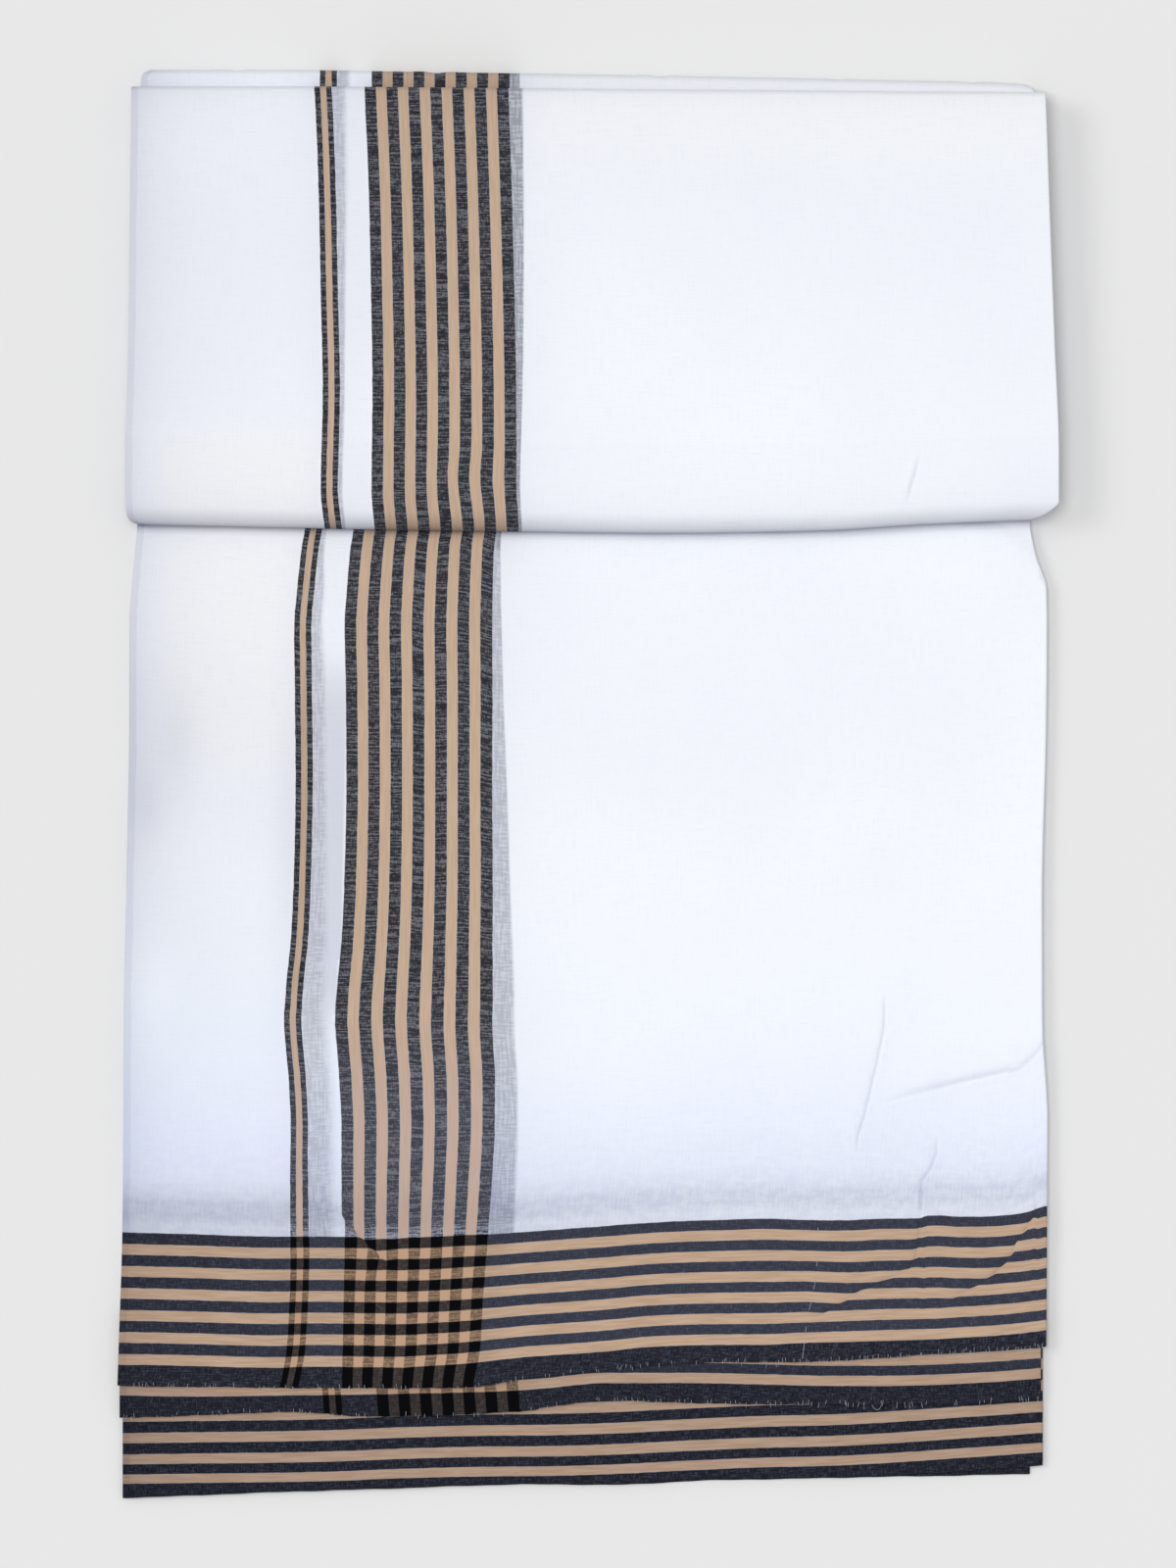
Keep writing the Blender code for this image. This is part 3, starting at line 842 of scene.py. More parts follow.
def wall(outer, inner, normal, marked):
    """A closed wall between two grids of points. Its rims show the plies as small round edges."""
    rows, columns = outer.shape[:2]
    index = np.arange(rows * columns).reshape(rows, columns)
    loop = np.concatenate((index[0, :-1], index[:-1, -1], index[-1, :0:-1], index[:0:-1, 0]))
    top, low, marked = outer.reshape(-1, 3), inner.reshape(-1, 3), marked.reshape(-1, 5)
    out = outward(top[loop], normal.reshape(-1, 3)[loop], outer[rows // 2, columns // 2])
    loops = rim(top[loop], low[loop], out)
    a, b = index[:-1, :-1].ravel(), index[:-1, 1:].ravel()
    c, d = index[1:, 1:].ravel(), index[1:, :-1].ravel()
    faces = [np.stack((a, b, c, d), 1), np.stack((d, c, b, a), 1) + len(top)]
    faces.append(bands(2 * len(top), loop, len(loops), loop + len(top)))
    every = [marked, marked] + [marked[loop]] * len(loops)
    return np.concatenate([top, low, *loops]), np.concatenate(faces), np.concatenate(every)


def join_shells(name, shells, material):
    """Several walls of cloth as one object."""
    points, faces, every, start = [], [], [], 0
    for found, quads, marked in shells:
        points.append(found)
        faces.append(quads + start)
        every.append(marked)
        start += len(found)
    faces = np.concatenate(faces).tolist()
    return mesh_object(name, np.concatenate(points), faces, np.concatenate(every), material)


def spaced(low, high, spacing):
    """Even steps of about the spacing, from low to high."""
    return np.linspace(low, high, max(2, int(round((high - low) / spacing)) + 1))


def graded(grid):
    """Shares of the way across, close together at both sides where the rims are round and the plies step."""
    near = (0.0, 0.12, 0.3, 0.55, 0.85, 1.2, 1.6, 2.0, 2.2, 2.35, 2.5, 2.65, 2.85, 3.3, 4.2)
    far = (0.0, 0.1, 0.22, 0.4, 0.65, 1.1, 1.9, 3.0)
    middle = spaced(near[-1], grid.wide - far[-1], grid.across)[1:-1]
    return np.concatenate((near, middle, grid.wide - np.array(far[::-1]))) / grid.wide


def nose(low, high, depth, count, belly=0.5):
    """Shift and height of the points round a fold, half an oval from its lower face to its upper one.
    belly is the share of its height where it stands out furthest."""
    turn = np.linspace(0, math.pi, count + 1)
    middle = low + belly * (high - low)
    below = middle - (middle - low) * np.cos(turn)
    above = middle - (high - middle) * np.cos(turn)
    return depth * np.sin(turn), np.where(turn < math.pi / 2, below, above)


# ---------------------------------------------------------------- colours and nodes
def linear(text):
    """An sRGB hex colour as linear light."""
    parts = [int(text[i : i + 2], 16) / 255 for i in (1, 3, 5)]
    return [c / 12.92 if c <= 0.04045 else ((c + 0.055) / 1.055) ** 2.4 for c in parts] + [1.0]


def node(tree, kind, *values, **named):
    """Adds a node. values go into the sockets that it has in use, in their order. A name with a capital is a
    socket and any other is a setting. A node stands for its first output in use, and a hex colour is made
    linear."""
    made = tree.nodes.new(kind)
    for name, value in named.items():
        if name[0].islower():
            setattr(made, name, value)
    filled = list(zip([slot for slot in made.inputs if slot.enabled], values))
    sockets = [name for name in named if name[0].isupper()]
    filled += [(made.inputs[name.replace("_", " ")], named[name]) for name in sockets]
    for slot, value in filled:
        if isinstance(value, bpy.types.Node):
            value = next(output for output in value.outputs if output.enabled)
        if isinstance(value, bpy.types.NodeSocket):
            tree.links.new(value, slot)
        else:
            slot.default_value = linear(value) if isinstance(value, str) else value
    return made


def new_material(name):
    """A material with an empty tree, and the function that adds nodes to it."""
    material = bpy.data.materials.new(name)
    material.use_nodes = True
    material.node_tree.nodes.clear()
    return material, partial(node, material.node_tree)


# Kinds of node and their settings, where they come up again and again
MATH, RANGE, MIX, NOISE = "ShaderNodeMath", "ShaderNodeMapRange", "ShaderNodeMix", "ShaderNodeTexNoise"
SPLIT = "ShaderNodeSeparateXYZ"
PLUS, LESS, TIMES, TIMES_PLUS, COSINE = (
    {"operation": name} for name in ("ADD", "SUBTRACT", "MULTIPLY", "MULTIPLY_ADD", "COSINE")
)
SOFT = {"interpolation_type": "SMOOTHSTEP"}
FALL = (1.0, 0.0)
TINT_OVER = {"data_type": "RGBA", "blend_type": "MULTIPLY"}

BLACK_SHARE = 0.53
STRIPE_SOFT = 0.13
# Above the end border: millimetres up from its top, and the tint of the white there: the border of the ply
# below showing through, and painted shade
BAND_TONES = table(
    "up tint",
    (-1.0, "#d9dbe5"),
    (2.8, "#dfe1eb"),
    (6.5, "#d2d5e1"),
    (10.5, "#d4d7e4"),
    (13.5, "#e1e3ef"),
    (20.0, "#edeffa"),
    (34.0, "#f6f7fe"),
    (44.0, "#f9faff"),
    (66.0, "#ffffff"),
)
BAND_FROM = -2.0
# What full grey would leave of red, green and blue. The cloth is darkened by it by degrees: mostly painted
# shade and shadow, and the plies below where they show through
SHADE_TINT = (0.0, 0.02, 0.15, 1.0)


def threads(add, weave, across_mm, along_mm, detail=2.0, rough=0.6):
    """Noise drawn out along the threads: one grain is across_mm by along_mm."""
    scaled = add("ShaderNodeVectorMath", weave, (1 / across_mm, 1 / along_mm, 1.0), **TIMES)
    return add(NOISE, scaled, 1.0, detail, rough, noise_dimensions="2D")


def thread_mix(add, weave, *grains, detail=2.0, rough=0.6):
    """Thread noise of several sizes added up. A grain is its width, its length and its share."""
    total = 0.0
    for across_mm, along_mm, share in grains:
        total = add(MATH, threads(add, weave, across_mm, along_mm, detail, rough), share, total, **TIMES_PLUS)
    return total


def stretch(add, value, rise, fall):
    """1 from the end of rise to the start of fall, and soft on both sides."""
    return add(MATH, add(RANGE, value, *rise, **SOFT), add(RANGE, value, *fall, *FALL, **SOFT), **TIMES)


def layered(add, colour, *layers):
    """A colour with others laid over it in turn, each where its mask is."""
    for mask, over in layers:
        colour = add(MIX, mask, colour, over, data_type="RGBA")
    return colour


def warp_stripes(add, s):
    """Masks of the black and the tan warp threads, at s millimetres from the wide border's left edge: black
    and tan by turns across the wide border, and black, tan, black in the narrow one."""
    turn = add(MATH, add(MATH, s, WARP_PERIOD / 4, **LESS), 2 * math.pi / WARP_PERIOD, **TIMES)
    edge = math.cos(math.pi * BLACK_SHARE)
    wave = add(RANGE, add(MATH, turn, **COSINE), edge - STRIPE_SOFT, edge + STRIPE_SOFT, **SOFT)
    in_wide = stretch(add, s, (-0.4, -0.1), (WIDE_WIDE + 0.1, WIDE_WIDE + 0.4))
    deep_wide = stretch(add, s, (1.7, 1.9), (WIDE_WIDE - 1.9, WIDE_WIDE - 1.7))
    black_wide = add(MATH, wave, in_wide, **TIMES)
    n = add(MATH, s, BETWEEN + NARROW_WIDE, **PLUS)
    turn = add(MATH, add(MATH, n, NARROW_WIDE / 6, **LESS), 3 * math.pi / NARROW_WIDE, **TIMES)
    wave = add(RANGE, add(MATH, turn, **COSINE), -STRIPE_SOFT, STRIPE_SOFT + 0.06, **SOFT)
    in_narrow = stretch(add, n, (-0.25, 0.05), (NARROW_WIDE - 0.05, NARROW_WIDE + 0.25))
    deep_narrow = stretch(add, n, (0.8, 1.0), (NARROW_WIDE - 1.0, NARROW_WIDE - 0.8))
    black = add(MATH, black_wide, add(MATH, wave, in_narrow, **TIMES), use_clamp=True, **PLUS)
    light = add(MATH, deep_wide, deep_narrow, use_clamp=True, **PLUS)
    return black, add(MATH, light, add(MATH, 1.0, black, **LESS), **TIMES)


def weft_stripes(add, t, x_at, y_at):
    """Masks of the black and the tan weft threads, at t millimetres from the raw end, and of all beyond the
    broad black stripe there. The others are tan and black by turns, and a black one takes a little more of
    the period at the left, and most in the middle fold."""
    more_left = add(RANGE, x_at, -0.15, 0.02, 0.262, 0.252, **SOFT)
    more_middle = add(RANGE, y_at, -0.22, -0.2185, 0.004, 0.0, **SOFT)
    half_black = add(MATH, add(MATH, more_left, more_middle, **PLUS), 2 * math.pi, **TIMES)
    turn = add(MATH, add(MATH, t, END_STRIPE, **LESS), 2 * math.pi / WEFT_PERIOD, half_black, **TIMES_PLUS)
    past_edge = add(MATH, add(MATH, turn, **COSINE), add(MATH, half_black, **COSINE), **LESS)
    wave = add(RANGE, past_edge, -STRIPE_SOFT, STRIPE_SOFT, **SOFT)
    broad = add(RANGE, t, END_STRIPE - 0.15, END_STRIPE + 0.15, *FALL, **SOFT)
    beyond_broad = add(RANGE, t, END_STRIPE + 0.5, END_STRIPE + 1.0, **SOFT)
    stripes = add(MATH, broad, add(MATH, wave, beyond_broad, **TIMES), use_clamp=True, **PLUS)
    in_border = add(RANGE, t, WEFT_DEEP + 0.35, WEFT_DEEP + 0.95, *FALL, **SOFT)
    inner_border = add(RANGE, t, WEFT_DEEP - 1.8, WEFT_DEEP - 1.5, *FALL, **SOFT)
    black = add(MATH, stripes, in_border, **TIMES)
    tan = add(MATH, inner_border, add(MATH, 1.0, stripes, **LESS), **TIMES)
    return black, tan, beyond_broad


def band_tone(add, along):
    """The soft grey band above the end border, where the border of the ply below shows through and shade is
    painted, with a bluish white above it, as a tint.
    """
    high = BAND_TONES[-1].up
    tone = add("ShaderNodeValToRGB", add(RANGE, along, WEFT_DEEP + BAND_FROM, WEFT_DEEP + high))
    stops = tone.color_ramp.elements
    stops.remove(stops[1])
    for row in BAND_TONES:
        at = (row.up - BAND_FROM) / (high - BAND_FROM)
        stop = stops[0] if row is BAND_TONES[0] else stops.new(at)
        stop.position = at
        stop.color = linear(row.tint)
    return tone


def white_ground(add, weave, placed, along, x_at, y_at):
    """The white: faint patches, threads a little thick or thin, the borders of the ply below that show
    through as grey beside the stripes, and the band above the end border."""
    patch = add(NOISE, placed, 9.0, 2.0)
    # creamier left of the borders by the block's fold and along its top, and bluer towards the end border
    left_part = stretch(add, x_at, (-0.155, -0.14), (-0.1, -0.085))
    by_fold = stretch(add, y_at, (-0.01, 0.02), (0.114, 0.128))
    by_top = add(RANGE, y_at, 0.195, 0.235, 0.0, 0.85, **SOFT)
    by_top = add(MATH, by_top, add(RANGE, x_at, -0.04, -0.01, **SOFT), **TIMES)
    by_end = stretch(add, y_at, (-0.145, -0.12), (-0.105, -0.015))
    grain = thread_mix(add, weave, (0.7, 9.0, 0.5), (9.0, 0.7, 0.5))
    below = add(SPLIT, add("ShaderNodeUVMap", uv_map="ply_below")).outputs
    show_wide = stretch(add, below[0], (-0.05, 0.05), (0.88, 1.08))
    show_narrow = stretch(add, below[1], (-0.05, 0.05), (0.55, 1.2))
    slub = thread_mix(add, weave, (5.0, 0.7, 0.5), (0.8, 8.0, 0.5))
    slub = add(RANGE, slub, 0.38, 0.60, 0.62, 1.06, **SOFT)
    on_block = add(RANGE, y_at, 0.080, 0.082, **SOFT)
    white = layered(
        add, "#edf0f7",
        (add(RANGE, patch, 0.35, 0.65, **SOFT), "#f1f4fa"),
        (add(MATH, left_part, by_fold, by_top, **TIMES_PLUS), "#f1f3f6"),
        (add(MATH, by_end, add(RANGE, x_at, -0.1, 0.0, 0.75, 0.3, **SOFT), **TIMES), "#e9f0fc"),
        (add(RANGE, grain, 0.38, 0.5, 0.22, 0.0, **SOFT), "#e2e5ef"),
        (add(MATH, show_narrow, slub, **TIMES), "#bbbfca"),
        (add(MATH, show_wide, slub, **TIMES), layered(add, "#b6bac5", (on_block, "#9ca0aa"))),
    )
    patchy = add(MATH, threads(add, weave, 5.0, 2.6, 3.0), 0.55, **TIMES)
    streak = add(MATH, threads(add, weave, 0.7, 6.0), 0.45, patchy, **TIMES_PLUS)
    streak = add(RANGE, streak, 0.38, 0.62, 0.74, 1.0, **SOFT)
    return add(MIX, streak, white, band_tone(add, along), **TINT_OVER)


def mull_cotton(name):
    """Fine plain-weave mull cotton, yarn-dyed borders, ironed and not starched: matt, with a soft fuzz of
    loose fibres that lightens it at a glance, and thick and thin threads that fleck the black stripes."""
    material, add = new_material(name)
    weave = add("ShaderNodeUVMap", uv_map="weave")
    placed = add("ShaderNodeTexCoord").outputs["Object"]
    grey = add("ShaderNodeAttribute", attribute_name="grey").outputs["Fac"]
    x_at, y_at, _ = add(SPLIT, placed).outputs
    across, along, _ = add(SPLIT, weave).outputs
    # threads lie up to 0.16 mm out of line, so that the stripes' edges aren't ruled
    shake_across = add(MATH, threads(add, weave, 0.6, 4.0), 0.32, -0.16, **TIMES_PLUS)
    shake_along = add(MATH, threads(add, weave, 4.0, 0.6), 0.32, -0.16, **TIMES_PLUS)
    t = add(MATH, along, shake_along, **PLUS)
    warp_black, warp_tan = warp_stripes(add, add(MATH, across, shake_across, **PLUS))
    weft_black, weft_tan, beyond_broad = weft_stripes(add, t, x_at, y_at)
    white = white_ground(add, weave, placed, along, x_at, y_at)

    # flecks: the white thread of the other direction shows between the black ones
    fine = {"detail": 1.0, "rough": 0.5}
    warp_fleck = thread_mix(add, weave, (10.0, 0.7, 0.46), (1.6, 0.4, 0.3), (0.4, 2.2, 0.24), **fine)
    weft_fleck = thread_mix(add, weave, (0.4, 2.2, 0.5), (3.4, 0.4, 0.5), **fine)
    by_border = add(RANGE, t, WEFT_DEEP + 1.5, WEFT_DEEP + 6.0, 0.34, 0.0, **SOFT)
    by_border = add(MATH, by_border, add(RANGE, warp_fleck, 0.40, 0.56, **SOFT), **TIMES)
    # towards the end border the weft is beaten closer, so it cools and pales the warp stripes
    close = add(RANGE, y_at, -0.125, -0.065, 0.5, 0.0, **SOFT)
    black_in_warp = layered(
        add, "#29292f",
        (add(RANGE, warp_fleck, 0.42, 0.52, **SOFT), "#424349"),
        (add(RANGE, warp_fleck, 0.51, 0.60, **SOFT), "#6b6c73"),
        (by_border, "#c8cede"),
        (add(MATH, close, 0.2, **TIMES), "#8c92ad"),
    )
    paler = add(RANGE, x_at, -0.14, -0.07, 0.1, 0.23, **SOFT)
    paler = add(MATH, paler, add(RANGE, y_at, -0.212, -0.195, **SOFT), **TIMES)
    black_in_weft = layered(
        add, "#1b1c25",
        (add(RANGE, weft_fleck, 0.42, 0.54, **SOFT), "#292b36"),
        (add(RANGE, weft_fleck, 0.54, 0.68, **SOFT), "#3f424e"),
        (add(MATH, beyond_broad, paler, **TIMES), "#5a5e70"),
    )
    warp_tone = add(RANGE, threads(add, weave, 0.7, 14.0), 0.35, 0.65, **SOFT)
    weft_tone = add(RANGE, threads(add, weave, 14.0, 0.7), 0.35, 0.65, **SOFT)
    tan_in_warp = layered(add, "#bda38c", (warp_tone, "#c6ab94"), (close, "#bba5a0"))
    tan_in_weft = layered(add, "#b4977f", (weft_tone, "#c0a58f"))
    khaki = layered(add, "#675446", (add(RANGE, warp_fleck, 0.4, 0.65, **SOFT), "#967c64"))
    brown = layered(add, "#2e2a29", (add(RANGE, weft_fleck, 0.4, 0.65, **SOFT), "#463f3c"))

    over_tan = layered(add, tan_in_weft, (warp_tan, "#bb9a80"), (warp_black, khaki))
    over_black = layered(add, black_in_weft, (warp_tan, brown), (warp_black, "#010104"))
    plain = layered(add, white, (warp_tan, tan_in_warp), (warp_black, black_in_warp))
    colour = layered(add, plain, (weft_tan, over_tan), (weft_black, over_black))
    # Painted shade and shadow from the grey attribute darken the colour, with the plies below where they show
    # through
    colour = add(MIX, grey, colour, SHADE_TINT, **TINT_OVER)

    # relief: threads 0.25 mm apart in the cloth, drawn at about twice that so that they show
    height = thread_mix(add, weave, (0.55, 6.0, 1.0), (6.0, 0.55, 1.0), detail=1.0)
    shader = add(
        "ShaderNodeBsdfPrincipled",
        Base_Color=colour, Roughness=0.88, IOR=1.5, Specular_IOR_Level=0.08,
        Sheen_Weight=0.04, Sheen_Roughness=0.5, Sheen_Tint="#f4f4fa",
        Normal=add("ShaderNodeBump", Strength=0.25, Distance=0.08 * MM, Height=height),
    )
    add("ShaderNodeOutputMaterial", shader)
    return material


def cotton_fibre(name):
    """Loose ends of undyed cotton yarn, off-white and matt, lighter than the dyed stripes they lie on."""
    material, add = new_material(name)
    patch = add(NOISE, add("ShaderNodeTexCoord").outputs["Object"], 180.0, 2.0)
    shader = add(
        "ShaderNodeBsdfPrincipled",
        Base_Color=layered(add, "#858994", (patch, "#cfd1d8")), Roughness=0.9, IOR=1.5,
        Sheen_Weight=0.2, Sheen_Roughness=0.5,
        Normal=add("ShaderNodeBump", Strength=0.3, Distance=0.03 * MM, Height=patch),
    )
    add("ShaderNodeOutputMaterial", shader)
    return material


# ---------------------------------------------------------------- the long stretch
# Cuts in each edge of the face that is this near to a crease
FINE_CUTS = 4
FINE_NEAR = 1.7


def boundary(bm):
    """The numbers of the vertices round a mesh's open edge, in their order."""
    start = next(vert for vert in bm.verts if vert.is_boundary)
    loop, edge = [start], next(e for e in start.link_edges if e.is_boundary)
    while True:
        step = edge.other_vert(loop[-1])
        if step is start:
            return np.array([vert.index for vert in loop])
        loop.append(step)
        edge = next(e for e in step.link_edges if e.is_boundary and e is not edge)


def front_end(material):
    """The long stretch, from just under the block down to the first raw end: its face is finer at creases."""
    u = graded(PANEL_GRID)
    v = spaced(0, 1, PANEL_GRID.along / PANEL_GRID.long)
    bm = bmesh.new()
    bmesh.ops.create_grid(bm, x_segments=len(u) - 1, y_segments=len(v) - 1, size=0.5)

    def placed():
        """Where the grid's points come to lie on the long stretch."""
        bm.verts.ensure_lookup_table()
        bm.verts.index_update()
        shares = np.array([(vert.co.x + 0.5, vert.co.y + 0.5) for vert in bm.verts])
        share = np.interp(shares[:, 0], np.linspace(0, 1, len(u)), u)
        x = across(PANEL_SIDES, share, 0 * share)
        low = end_line("first", x)
        high = fold_line("bottom", x) + PANEL_TUCK
        y = low + shares[:, 1] * (high - low)
        return across(PANEL_SIDES, share, y), y

    x, y = placed()
    lines = [crease.line for crease in CREASES if crease.name != "corner"]
    near = np.min([near_line(line, x, y)[0] for line in lines], axis=0)
    inner = np.array([not vert.is_boundary for vert in bm.verts])
    fine = set(np.nonzero((near < FINE_NEAR) & inner)[0].tolist())
    edges = [e for e in bm.edges if e.verts[0].index in fine and e.verts[1].index in fine]
    bmesh.ops.subdivide_edges(bm, edges=edges, cuts=FINE_CUTS, use_grid_fill=True)
    x, y = placed()
    face = np.stack((x, y, panel_height(x, y)), -1)
    faces = [[vert.index for vert in f.verts] for f in bm.faces]
    loop = boundary(bm)
    bm.free()
    foot = face[loop].copy()
    foot[:, 2] = FRONT_END_LOW
    loops = rim(face[loop], foot, outward(face[loop], (0.0, 0.0, 1.0), 0.0))
    points = np.concatenate([face, *loops, foot])
    under = np.arange(len(points) - len(loop), len(points))
    faces += bands(len(face), loop, len(loops), under).tolist() + [under.tolist()]
    return mesh_object("front_end_cloth", points, faces, panel_weave(points[:, 0], points[:, 1]), material)


# ---------------------------------------------------------------- the strips below the first raw end
# How round a middle leaf's fold edge is, and the points round it
LEAF_ROUND = 0.45
LEAF_CUTS = 6


def second_end(material):
    """The strip of the second raw end."""
    u = graded(SECOND_GRID)
    v = spaced(0, 1, SECOND_GRID.along / SECOND_GRID.long)
    x = across(SECOND_END_SIDES, u, 0 * u)
    _, left, right = SECOND_END_SIDES[0]
    raw = end_line("second", x)
    y = raw[None] + v[:, None] * (STRIPS_TO - raw)[None]
    x = np.broadcast_to(x, y.shape)
    z = SECOND_END_LOW + LENGTH_THICK - edge_drop(x, left, right)
    z = z + wander(x, 31, (90.0, 37.0), 0.06) - 0.06 * ease(1.2, 0.0, y - raw)
    along = END_STRIPE + SECOND_SCALE * (y - read(STRIP_LINES, "second", x))
    # its warp borders lean, and the strip is greyer than the long stretch
    marked = strip_weave(SECOND_WARP, x + (y + 217.0) * 0.08, along, painted_shade_and_show_through(x, left) + 0.15)
    return join_shells("second_end_cloth", [shell(np.stack((x, y, z), -1), LENGTH_THICK, marked)], material)


def middle_leaf(name, line, sides, low, material):
    """One leaf of the fold at the cloth's middle, with its round fold edge and the border beyond it."""
    depth = LEAF_ROUND
    u = graded(LEAF_GRID)
    x = across(sides, u, 0 * u)
    edge = end_line(line, x)
    turn = np.linspace(math.pi / 2, 0, LEAF_CUTS)
    inside = np.concatenate((depth * (1 - np.sin(turn)), spaced(depth, LEAF_GRID.long, LEAF_GRID.along)[1:]))
    below_top = np.concatenate((depth * (1 - np.cos(turn)), 0 * inside[LEAF_CUTS:]))
    y = edge[None] + inside[:, None] * ((STRIPS_TO - edge) / LEAF_GRID.long)[None]
    x = np.broadcast_to(x, y.shape)
    _, left, right = sides[0]
    top = low + LENGTH_THICK - edge_drop(x, left, right) + wander(x, 33, (80.0, 35.0), 0.05)
    points = np.stack((x, y, top - below_top[:, None]), -1)
    foot = points.copy()
    foot[..., 2] = low
    from_line = y - read(STRIP_LINES, "middle", x)
    along = END_STRIPE + np.interp(from_line, MIDDLE_FROM_LINE, MIDDLE_ALONG)
    marked = marks(x + BORDERLESS, along, UNSEEN, UNSEEN, painted_shade_and_show_through(x, left) + 0.19)
    return join_shells(name, [slab(points, foot, marked)], material)


# ---------------------------------------------------------------- the block and the fold behind it
def block_height(x, y, left, right):
    """The block's top: pressed flat, but a little fuller in the middle, with one short crease."""
    away, side, along, run = near_line(BLOCK_CREASE, x, y)
    strength = ease(0, 9.0, along) * ease(0, 7.0, run - along)
    ridge = 0.2 * bump(away - 1.3, 1.4) * (side < 0)
    crease = strength * (ridge - 0.26 * bump(away, 0.7))
    to_top = fold_line("top", x) - TOP_FOLD_DEPTH - y
    droop = 0.55 * np.exp(-((np.maximum(to_top, 0) / 4.5) ** 1.5))
    return crease + waves(BLOCK_WAVES, x, y) - droop - edge_drop(x, left, right)


def block_front(material):
    """The block's outer stretch: from under its bottom fold, over its top and round its top fold."""
    u = graded(BLOCK_GRID)
    by_crease = u[(u > 0.83) & (u < 0.88)]
    u = np.sort(np.concatenate((u, by_crease + 0.4 / BLOCK_GRID.wide, by_crease + 1.0 / BLOCK_GRID.wide)))
    rows = [(0.0, BOTTOM_FOLD_DEPTH + at, BLOCK_LOW, 0.0) for at in (TUCK, TUCK * 0.6, TUCK * 0.3)]
    for out, z in zip(*nose(BLOCK_LOW, BLOCK_HIGH, BOTTOM_FOLD_DEPTH, 30, FOLD_BELLY)):
        rows.append((0.0, BOTTOM_FOLD_DEPTH - out, z, ease(BLOCK_LOW, BLOCK_HIGH, z)))
    for share in spaced(0, 1, BLOCK_GRID.along / BLOCK_GRID.long)[1:-1]:
        shift = BOTTOM_FOLD_DEPTH * (1 - share) - TOP_FOLD_DEPTH * share
        rows.append((share, shift, BLOCK_HIGH, 1.0))
    out, z = nose(TOP_FOLD_LOW, BLOCK_HIGH, TOP_FOLD_DEPTH, 14)
    for shift, height in zip(out[::-1], z[::-1]):
        rows.append((1.0, shift - TOP_FOLD_DEPTH, height, ease(TOP_FOLD_LOW, BLOCK_HIGH, height)))
    rows += [(1.0, -TOP_FOLD_DEPTH - at, TOP_FOLD_LOW, 0.0) for at in (TUCK * 0.3, TUCK * 0.6, TUCK)]
    share, shift, z, on_top = (np.array(column)[:, None] for column in zip(*rows))
    x = across(BLOCK_SIDES, u, 0 * u + 60.0)[None]
    bottom, top = fold_line("bottom", x), fold_line("top", x)
    ripple = wander(x, 27, (60.0, 23.0), 0.12)
    above = share * (top - bottom) + shift + ripple * (1 - share) * ease(BLOCK_LOW, BLOCK_LOW + 5, z)
    x = across(BLOCK_SIDES, u[None], above)
    y = bottom + above
    round_top = np.clip((y - top) / TOP_FOLD_DEPTH + 1, 0, 1)
    y = y - round_top * fold_creases(TOP_CREASES, x, (z - TOP_FOLD_LOW) / (BLOCK_HIGH - TOP_FOLD_LOW))
    left, right = across(BLOCK_SIDES, 0.0, above), across(BLOCK_SIDES, 1.0, above)
    z = z + on_top * block_height(x, y, left, right)
    outer = np.stack((x, y, z), -1)
    place, shade_wide, shade_narrow = warp_places(BLOCK_WARP, x, y)
    place = place + patched(STRIPE_BENDS, x, y)
    narrow, wide_right = (read(BLOCK_WARP, name, y) for name in ("narrow", "wide_right"))
    # Painted shade in from the left and along the block's top fold; beside the stripes the plies below show
    # through
    grey = painted_shade_and_show_through(x, left, narrow, wide_right) + faded(TOP_FOLD_PAINTED_SHADE, np.abs(top - y))
    grey = grey + 0.05 * (x > narrow + NARROW_WIDE) * (x < read(BLOCK_WARP, "wide_left", y))
    # Painted shade down the block's bottom fold, darkest as a painted shadow where it meets the long stretch
    above = np.maximum(y - bottom, 0)
    grey = grey + faded(BOTTOM_FOLD_PAINTED_SHADE, above) * (y < bottom + 30.0)
    # Painted shade along the block's short crease; the block also greys a little towards its top
    grey = grey + 0.04 * ease(20.0, 150.0, y - bottom) + painted_line_shade(BLOCK_CREASE, x, y, 0.12, 0.5, 0.5, 8.0)
    marked = marks(place, BORDERLESS + y, shade_wide, shade_narrow, grey)
    return join_shells("block_cloth", [shell(outer, LENGTH_THICK, marked)], material)


